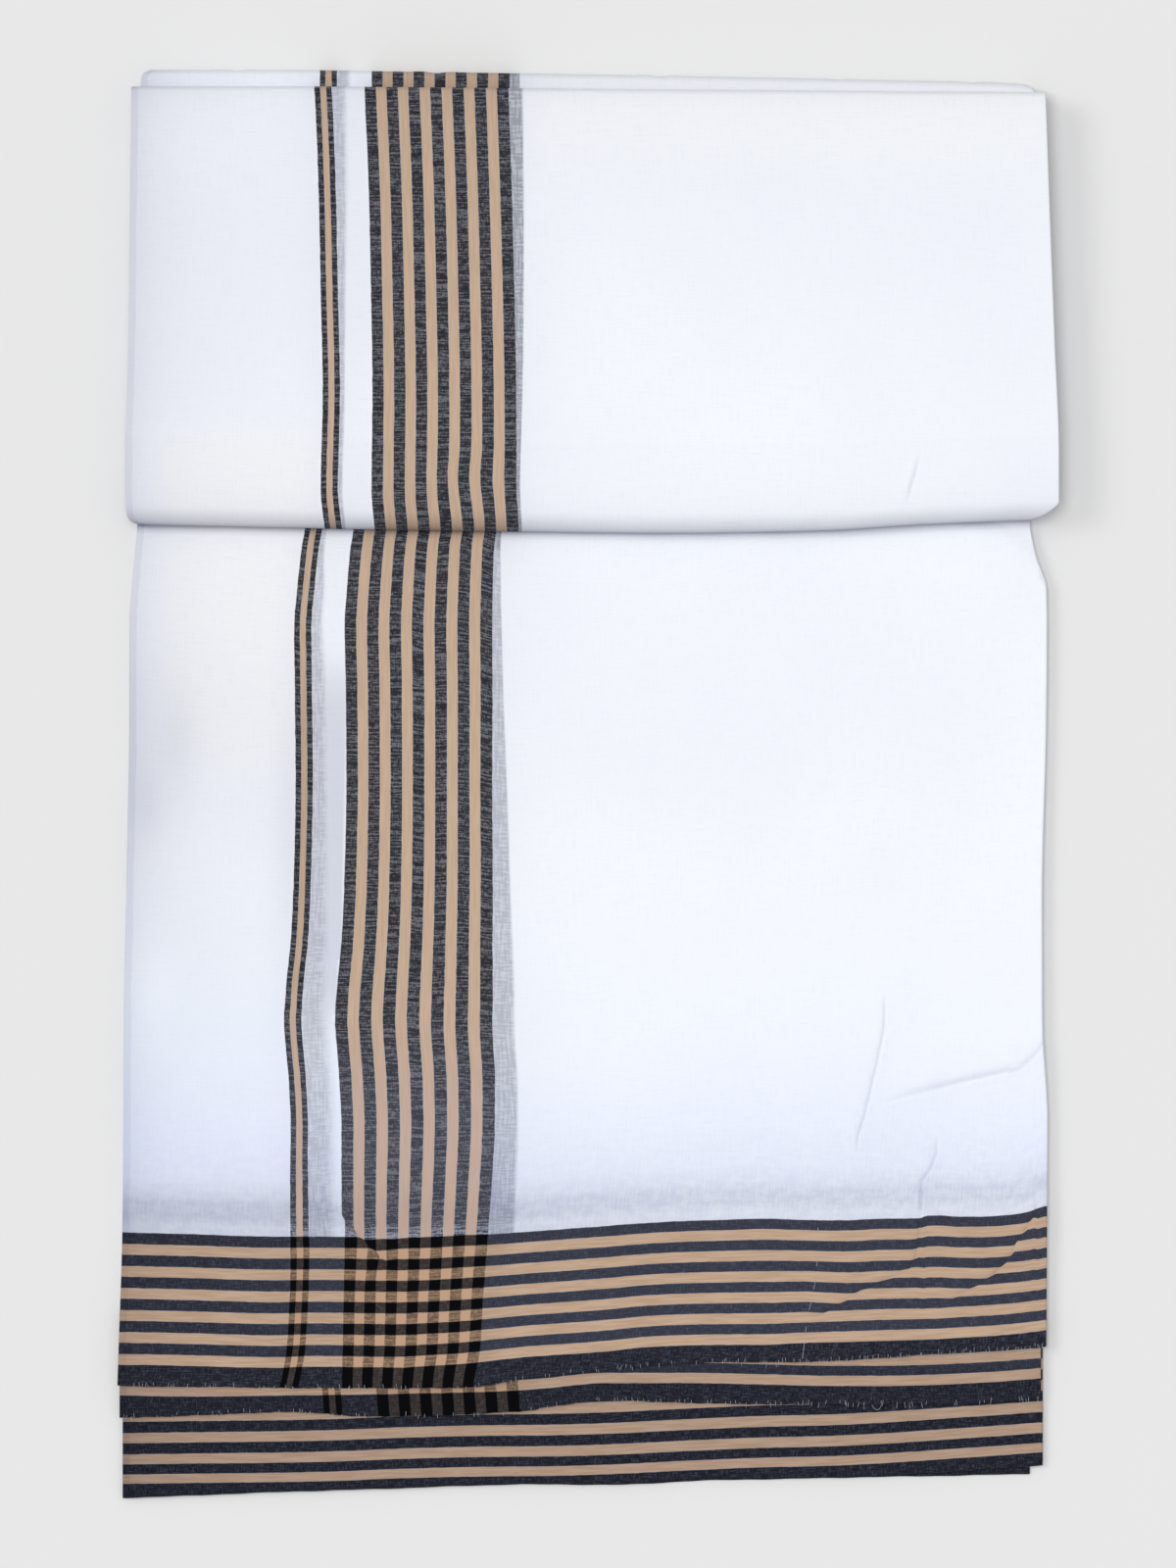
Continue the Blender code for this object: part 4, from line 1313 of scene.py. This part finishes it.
def back_fold(material):
    """The fold behind the block, from under the block's top fold round to the surface it lies on."""
    u = graded(BACK_GRID)
    out, z = nose(0.0, BACK_FOLD_HIGH, BACK_FOLD_DEPTH, 16)
    rows = [(BACK_FOLD_DEPTH + at, BACK_FOLD_HIGH) for at in (TUCK, TUCK * 0.5)]
    rows += [(BACK_FOLD_DEPTH - shift, height) for shift, height in zip(out[::-1], z[::-1])]
    rows += [(BACK_FOLD_DEPTH + at, 0.0) for at in (TUCK * 0.5, TUCK)]
    inside, z = (np.array(column)[:, None] for column in zip(*rows))
    x = across(BACK_SIDES, u[None], inside)
    round_back = np.clip(1 - inside / BACK_FOLD_DEPTH, 0, 1)
    y = fold_line("back", x) - inside - round_back * fold_creases(BACK_CREASES, x, z / BACK_FOLD_HIGH)
    z = z - edge_drop(x, x[:, :1], x[:, -1:]) * (z > BACK_FOLD_HIGH / 2)
    outer = np.stack((x, y, z), -1)
    place, shade_wide, shade_narrow = warp_places(BACK_WARP, x, 0 * x)
    row = BACK_WARP[0]
    # Painted shade over the back fold, a little less of it towards the left
    grey = painted_shade_and_show_through(x, x[:, :1], row.narrow, row.wide_right) + 0.14 - 0.07 * ease(-60.0, -95.0, x)
    marked = marks(place, BORDERLESS + y, shade_wide, shade_narrow, grey)
    return join_shells("back_fold_cloth", [shell(outer, LENGTH_THICK, marked)], material)


# ---------------------------------------------------------------- the layers between
# A station of a hidden length: y is base + share x (far - base) + shift, where base and far are lines across
# the cloth, z is the height of one of its faces, and thick is how thick it is pressed there
Station = namedtuple("Station", "base far share shift z thick")


def run_between(base, far, base_shift, far_shift, z, thick, spacing=7.0):
    """Stations along a flat run, from one line across the cloth to another."""
    count = max(2, int(150 / spacing))
    return [
        Station(base, far, share, base_shift * (1 - share) + far_shift * share, z, thick)
        for share in np.linspace(0, 1, count)
    ]


def turn_round(line, centre, outward, low, high, depth, thick, upward):
    """Stations round a fold whose face runs from low to high. outward is -1 towards the near end."""
    out, z = nose(low, high, depth, 14, FOLD_BELLY + 0.04)
    stations = [Station(line, line, 0.0, centre + outward * o, h, thick) for o, h in zip(out, z)]
    return stations if upward else stations[::-1]


def ribbon(stations, sides, inset, seed):
    """A hidden length as a wall of cloth that follows its stations, uneven at its sides."""
    u = np.concatenate(((0.0, 0.012), np.linspace(0.04, 0.96, 22), (0.988, 1.0)))
    x0 = (-156.0 + 310.0 * u)[None]
    lines = {
        "front": 0 * x0 + HIDDEN_FRONT,
        "bottom": fold_line("bottom", x0),
        "top": fold_line("top", x0),
        "back": fold_line("back", x0),
    }
    y = np.concatenate([lines[s.base] + s.share * (lines[s.far] - lines[s.base]) + s.shift for s in stations])
    z = np.array([s.z for s in stations])[:, None] + 0 * y
    thick = np.array([s.thick for s in stations])[:, None] + 0 * y
    run = np.arange(len(stations))[:, None] + 0 * y
    uneven = wander(run, seed, (23.0, 9.0, 4.7), 0.75)
    up = y - lines["bottom"] - 1.6 if sides is BLOCK_SIDES else y
    # behind the block's top the back fold is narrower, and the lengths in it stay inside its sides
    behind = ease(-9.0, -3.0, y - lines["top"])
    inside = lines["back"] - y
    left = read(sides, "left", up) + inset + 0.5 + uneven
    right = read(sides, "right", up) - inset - 0.5 - uneven
    left += behind * np.maximum(read(BACK_SIDES, "left", inside) + 0.6 + 0.4 * uneven - left, 0)
    right += behind * np.minimum(read(BACK_SIDES, "right", inside) - 0.6 - 0.4 * uneven - right, 0)
    x = left + u[None] * (right - left)
    marked = marks(x + BORDERLESS, y + 1.5 * BORDERLESS, UNSEEN, UNSEEN, 0.16)
    return shell(np.stack((x, y, z), -1), thick, marked, flip=True)


def hidden_layers(material):
    """All lengths that don't show from above: the flat stack, and the letter fold inside the block."""
    reach = {row.length: row for row in REACHES}
    walls = []
    for number, length in enumerate(("lower", "upper", "second")):
        base = run_between("front", "back", 0.0, reach[length].base, number * STEP, LENGTH_THICK, 3.0)
        walls.append(ribbon(base, PANEL_SIDES, 0.25, 50 + number))
    base = run_between("bottom", "back", PANEL_TUCK + 0.3, reach["front"].base, FRONT_END_LOW, LENGTH_THICK)
    walls.append(ribbon(base, PANEL_SIDES, 0.4, 54))
    centre = BOTTOM_FOLD_DEPTH
    for number, row in enumerate(RUN_HEIGHTS):
        ends = reach[row.length]
        low, high = row.first_run
        outermost = row.length == "front"
        near = centre + TUCK + 0.3 if outermost else centre
        first = run_between("back", "bottom", ends.first, near, high, high - low)
        if outermost:
            walls.append(ribbon(first, BLOCK_SIDES, 0.9, 60))
        else:
            top_low = row.last_run[0]
            thick = 0.5 * (high - low + LENGTH_THICK)
            bend = turn_round("bottom", centre, -1, high, top_low, ends.bend, thick, True)
            last = run_between("bottom", "top", centre, ends.last, top_low, LENGTH_THICK)
            walls.append(ribbon(first + bend[1:-1] + last, BLOCK_SIDES, 0.55, 60 + number))
        middle = run_between("bottom", "top", ends.near, ends.middle, row.middle_run[1], LENGTH_THICK)[::-1]
        walls.append(ribbon(middle, BLOCK_SIDES, 1.0, 70 + number))
    return join_shells("hidden_lengths", walls, material)


# ---------------------------------------------------------------- frayed raw ends
FRAY_INPUTS = table(
    "name value",
    ("Spacing", 0.8 * MM),
    ("Shortest", 1.0 * MM),
    ("Longest", 2.6 * MM),
    ("Thread radius", 0.06 * MM),
    ("Share", 0.5),
    ("Lean", 0.5),
)


def fray_tree(name, material):
    """Short loose ends of warp thread along a raw end: one on some of the points of a line, each with its own
    length and lean."""
    tree = bpy.data.node_groups.new(name, "GeometryNodeTree")
    add = partial(node, tree)
    face = tree.interface
    face.new_socket("Geometry", in_out="INPUT", socket_type="NodeSocketGeometry")
    face.new_socket("Geometry", in_out="OUTPUT", socket_type="NodeSocketGeometry")
    sockets = {}
    for row in FRAY_INPUTS:
        made = face.new_socket(row.name, in_out="INPUT", socket_type="NodeSocketFloat")
        made.default_value = row.value
        sockets[row.name] = made.identifier
    sockets["Seed"] = face.new_socket("Seed", in_out="INPUT", socket_type="NodeSocketInt").identifier
    given = add("NodeGroupInput").outputs

    # what is drawn for each thread: whether it is there, its root, length, turn and the side that it bends to
    least_turn = add("ShaderNodeCombineXYZ", -0.02, 0.0, add(MATH, given["Lean"], -1.0, **TIMES))
    most_turn = add("ShaderNodeCombineXYZ", 0.05, 0.0, given["Lean"])
    drawn = []
    for low, high, kind in (
        (0.0, 1.0, "FLOAT"),
        ((-0.3 * MM, -0.2 * MM, 0.0), (0.3 * MM, 1.2 * MM, 0.18 * MM), "FLOAT_VECTOR"),
        (given["Shortest"], given["Longest"], "FLOAT"),
        (least_turn, most_turn, "FLOAT_VECTOR"),
        (-1.0, 1.0, "FLOAT"),
    ):
        seed = add(MATH, given["Seed"], len(drawn) + 1.0, **PLUS)
        drawn.append(add("FunctionNodeRandomValue", low, high, Seed=seed, data_type=kind))
    rolled, scatter, size, turned, flip = drawn

    line = add("GeometryNodeMeshToCurve", given["Geometry"])
    points = add("GeometryNodeCurveToPoints", line, given["Spacing"], mode="LENGTH")
    over = add(MATH, rolled, given["Share"], operation="GREATER_THAN")
    kept = add("GeometryNodeDeleteGeometry", points, over)
    moved = add("GeometryNodeSetPosition", kept, Offset=scatter)
    straight = add("GeometryNodeCurvePrimitiveLine", (0, 0, 0), (0, -1, 0))
    parts = add("GeometryNodeResampleCurve", straight, Count=5)
    bend = add(MATH, add("GeometryNodeSplineParameter"), 2.0, operation="POWER")
    bowed = add("ShaderNodeVectorMath", (0.04, 0.0, 0.02), Scale=bend, operation="SCALE")
    bent = add("GeometryNodeSetPosition", parts, Offset=bowed)
    wide = add(MATH, add(MATH, flip, operation="SIGN"), size, **TIMES)
    scale = add("ShaderNodeCombineXYZ", wide, size, size)
    placed = add("GeometryNodeInstanceOnPoints", moved, Instance=bent, Rotation=turned, Scale=scale)
    loose = add("GeometryNodeRealizeInstances", placed)
    ring = add("GeometryNodeCurvePrimitiveCircle", 4, given["Thread radius"])
    thread = add("GeometryNodeCurveToMesh", loose, Profile_Curve=ring, Fill_Caps=True)
    real = add("GeometryNodeRealizeInstances", thread)
    add("NodeGroupOutput", add("GeometryNodeSetMaterial", real, Material=material))
    return tree, sockets


def plain_copy(made, name):
    """What an object's modifiers make, as a plain mesh object."""
    graph = bpy.context.evaluated_depsgraph_get()
    mesh = bpy.data.meshes.new_from_object(made.evaluated_get(graph))
    mesh.name = name
    bpy.data.objects.remove(made, do_unlink=True)
    return in_scene(name, mesh)


# The loose ends' line of roots: its spacing, how far inside the raw end it lies, and how far it is from the
# cloth's face where the face is flat, and where it is creased
ROOTS_APART = 2.0
ROOTS_IN = 0.25
ROOTS_SUNK = 0.02
ROOTS_RAISED = 0.05


def frayed(name, line, low, spans, tree, sockets, material):
    """Loose ends along a raw end, in spans that have more or fewer of them."""
    made = []
    for number, span in enumerate(spans):
        x = spaced(span.start, span.stop, ROOTS_APART)
        y = end_line(line, x) + ROOTS_IN
        height = np.full(x.shape, low + LENGTH_THICK - ROOTS_SUNK)
        if line == "first":
            height = panel_height(x, y + 0.6) + ROOTS_RAISED
        mesh = bpy.data.meshes.new(name)
        points = np.stack((x, y, height), -1) * MM
        mesh.from_pydata(points.tolist(), [(i, i + 1) for i in range(len(x) - 1)], [])
        piece = in_scene(f"{name}_{number}", mesh)
        nodes = piece.modifiers.new("loose ends", "NODES")
        nodes.node_group = tree
        nodes[sockets["Share"]] = span.share
        nodes[sockets["Longest"]] = span.longest * MM
        nodes[sockets["Lean"]] = span.lean
        nodes[sockets["Seed"]] = 7 * number + int(low * 10)
        made.append(plain_copy(piece, f"{name}_{number}"))
    bm = bmesh.new()
    for piece in made:
        bm.from_mesh(piece.data)
    mesh = bpy.data.meshes.new(name)
    bm.to_mesh(mesh)
    bm.free()
    mesh.materials.append(material)
    for piece in made:
        bpy.data.objects.remove(piece, do_unlink=True)
    return finished(name, mesh)


FIRST_FRAY = table(
    "start stop share longest lean",
    (-160.5, -70.0, 0.30, 2.2, 0.22),
    (-70.0, 10.0, 0.16, 1.5, 0.15),
    (10.0, 60.0, 0.30, 1.6, 0.15),
    (60.0, 96.0, 0.62, 2.2, 0.14),
    (96.0, 156.5, 0.56, 2.7, 0.2),
)
SECOND_FRAY = table(
    "start stop share longest lean",
    (-160.0, -60.0, 0.22, 1.8, 0.25),
    (-60.0, 50.0, 0.22, 1.5, 0.2),
    (50.0, 90.0, 0.36, 1.9, 0.2),
    (90.0, 155.0, 0.32, 2.2, 0.3),
)


def thread_tube(points, radius, sides=5):
    """A thread along a line of points, as points and faces with closed ends."""
    points = np.asarray(points, float)
    fine = np.linspace(0, len(points) - 1, (len(points) - 1) * 6 + 1)
    smooth = []
    for at in fine:
        i = min(int(at), len(points) - 2)
        t = at - i
        p0, p1 = points[max(i - 1, 0)], points[i]
        p2, p3 = points[i + 1], points[min(i + 2, len(points) - 1)]
        bend = 2 * p1 + (p2 - p0) * t + (2 * p0 - 5 * p1 + 4 * p2 - p3) * t**2
        smooth.append(0.5 * (bend + (3 * p1 - p0 - 3 * p2 + p3) * t**3))
    smooth = np.array(smooth)
    ahead = np.gradient(smooth, axis=0)
    ahead /= np.linalg.norm(ahead, axis=1, keepdims=True)
    aside = np.cross(ahead, (0, 0, 1.0))
    aside /= np.linalg.norm(aside, axis=1, keepdims=True)
    above = np.cross(aside, ahead)
    rings = []
    for k in range(sides):
        turn = 2 * math.pi * k / sides
        rings.append(smooth + radius * (math.cos(turn) * aside + math.sin(turn) * above))
    found = np.stack(rings, 1).reshape(-1, 3)
    faces = []
    for i in range(len(smooth) - 1):
        for k in range(sides):
            a, b = i * sides + k, i * sides + (k + 1) % sides
            faces.append((a, b, b + sides, a + sides))
    faces.append(tuple(range(sides))[::-1])
    faces.append(tuple((len(smooth) - 1) * sides + k for k in range(sides)))
    return found, faces


LOOSE_THREAD = (
    ((79.3, -152.9), (79.25, -154.6), (79.2, -156.2)),
    ((79.1, -162.8), (79.0, -164.6), (78.9, -166.3)),
    ((78.4, -169.8), (78.2, -172.0), (77.8, -174.2)),
    ((77.1, -178.0), (76.7, -179.6), (76.2, -181.4)),
    ((75.2, -187.2), (74.8, -190.5), (74.4, -194.2), (73.9, -198.2)),
)
THREAD_LOOP = (
    (97.6, -211.9), (97.9, -214.0), (98.8, -215.4), (100.0, -215.7), (101.0, -214.6), (101.4, -212.4),
)
THREAD_RADIUS = 0.07
# Where the loop comes down over the second end's edge, and its height there
LOOP_FALLS = (-214.2, -213.4)
LOOP_HEIGHTS = (2.65, SECOND_END_LOW + LENGTH_THICK + 0.05)


def loose_threads(material):
    """A loose thread that comes and goes on the long stretch, and a small loop at the second raw end."""
    tubes = []
    for part in LOOSE_THREAD:
        line = np.array(part)
        height = panel_height(line[:, 0], line[:, 1]) + THREAD_RADIUS * 0.7
        tubes.append(thread_tube(np.column_stack((line, height)), THREAD_RADIUS))
    line = np.array(THREAD_LOOP)
    height = np.interp(line[:, 1], LOOP_FALLS, LOOP_HEIGHTS)
    tubes.append(thread_tube(np.column_stack((line, height)), THREAD_RADIUS))
    points, faces, start = [], [], 0
    for found, made in tubes:
        points.append(found)
        faces += [tuple(i + start for i in face) for face in made]
        start += len(found)
    mesh = bpy.data.meshes.new("loose_threads")
    mesh.from_pydata((np.concatenate(points) * MM).tolist(), [], faces)
    mesh.materials.append(material)
    return finished("loose_threads", mesh)


# ---------------------------------------------------------------- floor, light and camera
CAMERA_HIGH = 8.0
VIEW_HIGH = 0.5408
SENSOR_WIDE = 36.0
FLOOR_DOWN = 0.2 * MM
ROOM_LIGHT = 0.51
LAMPS = table(
    "name energy degrees toward",
    ("soft_box_above", 1.28, 24, (-0.10, 0.08, 0.99)),
    ("window", 0.62, 24, (-0.66, 0.24, 0.71)),
)


def floor():
    """A plain pale floor, a little below the cloth."""
    bm = bmesh.new()
    bmesh.ops.create_grid(bm, x_segments=8, y_segments=8, size=3.0)
    mesh = bpy.data.meshes.new("floor")
    bm.to_mesh(mesh)
    bm.free()
    material, add = new_material("matt_grey_paint")
    paint = add("ShaderNodeBsdfPrincipled", Base_Color="#e3e3e3", Roughness=0.95, Specular_IOR_Level=0.1)
    add("ShaderNodeOutputMaterial", paint)
    mesh.materials.append(material)
    made = in_scene("floor", mesh)
    made.location.z = -FLOOR_DOWN


def lights():
    """A soft room, a large soft box above and a window at the upper left."""
    world = bpy.data.worlds.new("soft_room")
    bpy.context.scene.world = world
    world.use_nodes = True
    back = world.node_tree.nodes["Background"]
    back.inputs["Color"].default_value = linear("#ffffff")
    back.inputs["Strength"].default_value = ROOM_LIGHT
    for row in LAMPS:
        data = bpy.data.lights.new(row.name, "SUN")
        data.energy = row.energy
        data.angle = math.radians(row.degrees)
        in_scene(row.name, data).rotation_euler = Vector(row.toward).to_track_quat("Z", "Y").to_euler()


def camera():
    """A camera high above, with a narrow view straight down."""
    data = bpy.data.cameras.new("camera")
    data.sensor_width = SENSOR_WIDE
    data.lens = SENSOR_WIDE * CAMERA_HIGH / VIEW_HIGH
    data.clip_end = 20.0
    made = in_scene("camera", data)
    made.location = (0.0, 0.0, CAMERA_HIGH)
    bpy.context.scene.camera = made


# ---------------------------------------------------------------- putting it together
def build():
    """The cloth, its loose threads, and the studio."""
    cotton = mull_cotton("plain_weave_mull_cotton")
    fibre = cotton_fibre("loose_cotton_yarn")
    camera()
    lights()
    floor()
    bpy.context.scene.view_settings.view_transform = "Standard"

    panel = front_end(cotton)
    strip = second_end(cotton)
    upper = middle_leaf("mid_fold_upper_cloth", "upper", MID_UPPER_SIDES, STEP, cotton)
    lower = middle_leaf("mid_fold_lower_cloth", "lower", MID_LOWER_SIDES, 0.0, cotton)
    block = block_front(cotton)
    back = back_fold(cotton)
    inside = hidden_layers(cotton)
    tree, sockets = fray_tree("loose_warp_ends", fibre)
    fray_first = frayed("frayed_first_end", "first", FRONT_END_LOW, FIRST_FRAY, tree, sockets, fibre)
    fray_second = frayed("frayed_second_end", "second", SECOND_END_LOW, SECOND_FRAY, tree, sockets, fibre)
    threads = loose_threads(fibre)

    # piece, node of the solids, slot, flat size in metres, how it is held, what it rests on, what is on it
    dressed = (
        (panel, "front_end", "white_cotton", (0.318, 0.306), "laid",
         ["second_end_cloth", "hidden_lengths"], [fray_first, threads]),
        (strip, "second_end", "striped_border", (0.3176, 0.034), "laid",
         ["mid_fold_upper_cloth"], [fray_second]),
        (upper, "mid_fold_upper", "striped_border", (0.3169, 0.059), "folded", ["mid_fold_lower_cloth"], []),
        (lower, "mid_fold_lower", "striped_border", (0.3125, 0.059), "folded", [], []),
        (block, "block_front", "white_cotton", (0.319, 0.193), "folded",
         ["hidden_lengths", "front_end_cloth"], []),
        (back, "back_fold", "white_cotton", (0.308, 0.033), "folded", ["hidden_lengths"], []),
        (inside, "hidden_layers", "white_cotton", (0.316, 2.90), "folded", [], []),
    )
    for piece, cad_node, slot, flat, held, on, going in dressed:
        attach(piece, "root")
        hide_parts(cad_node)
    for piece in (fray_first, fray_second, threads):
        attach(piece, "root")


build()
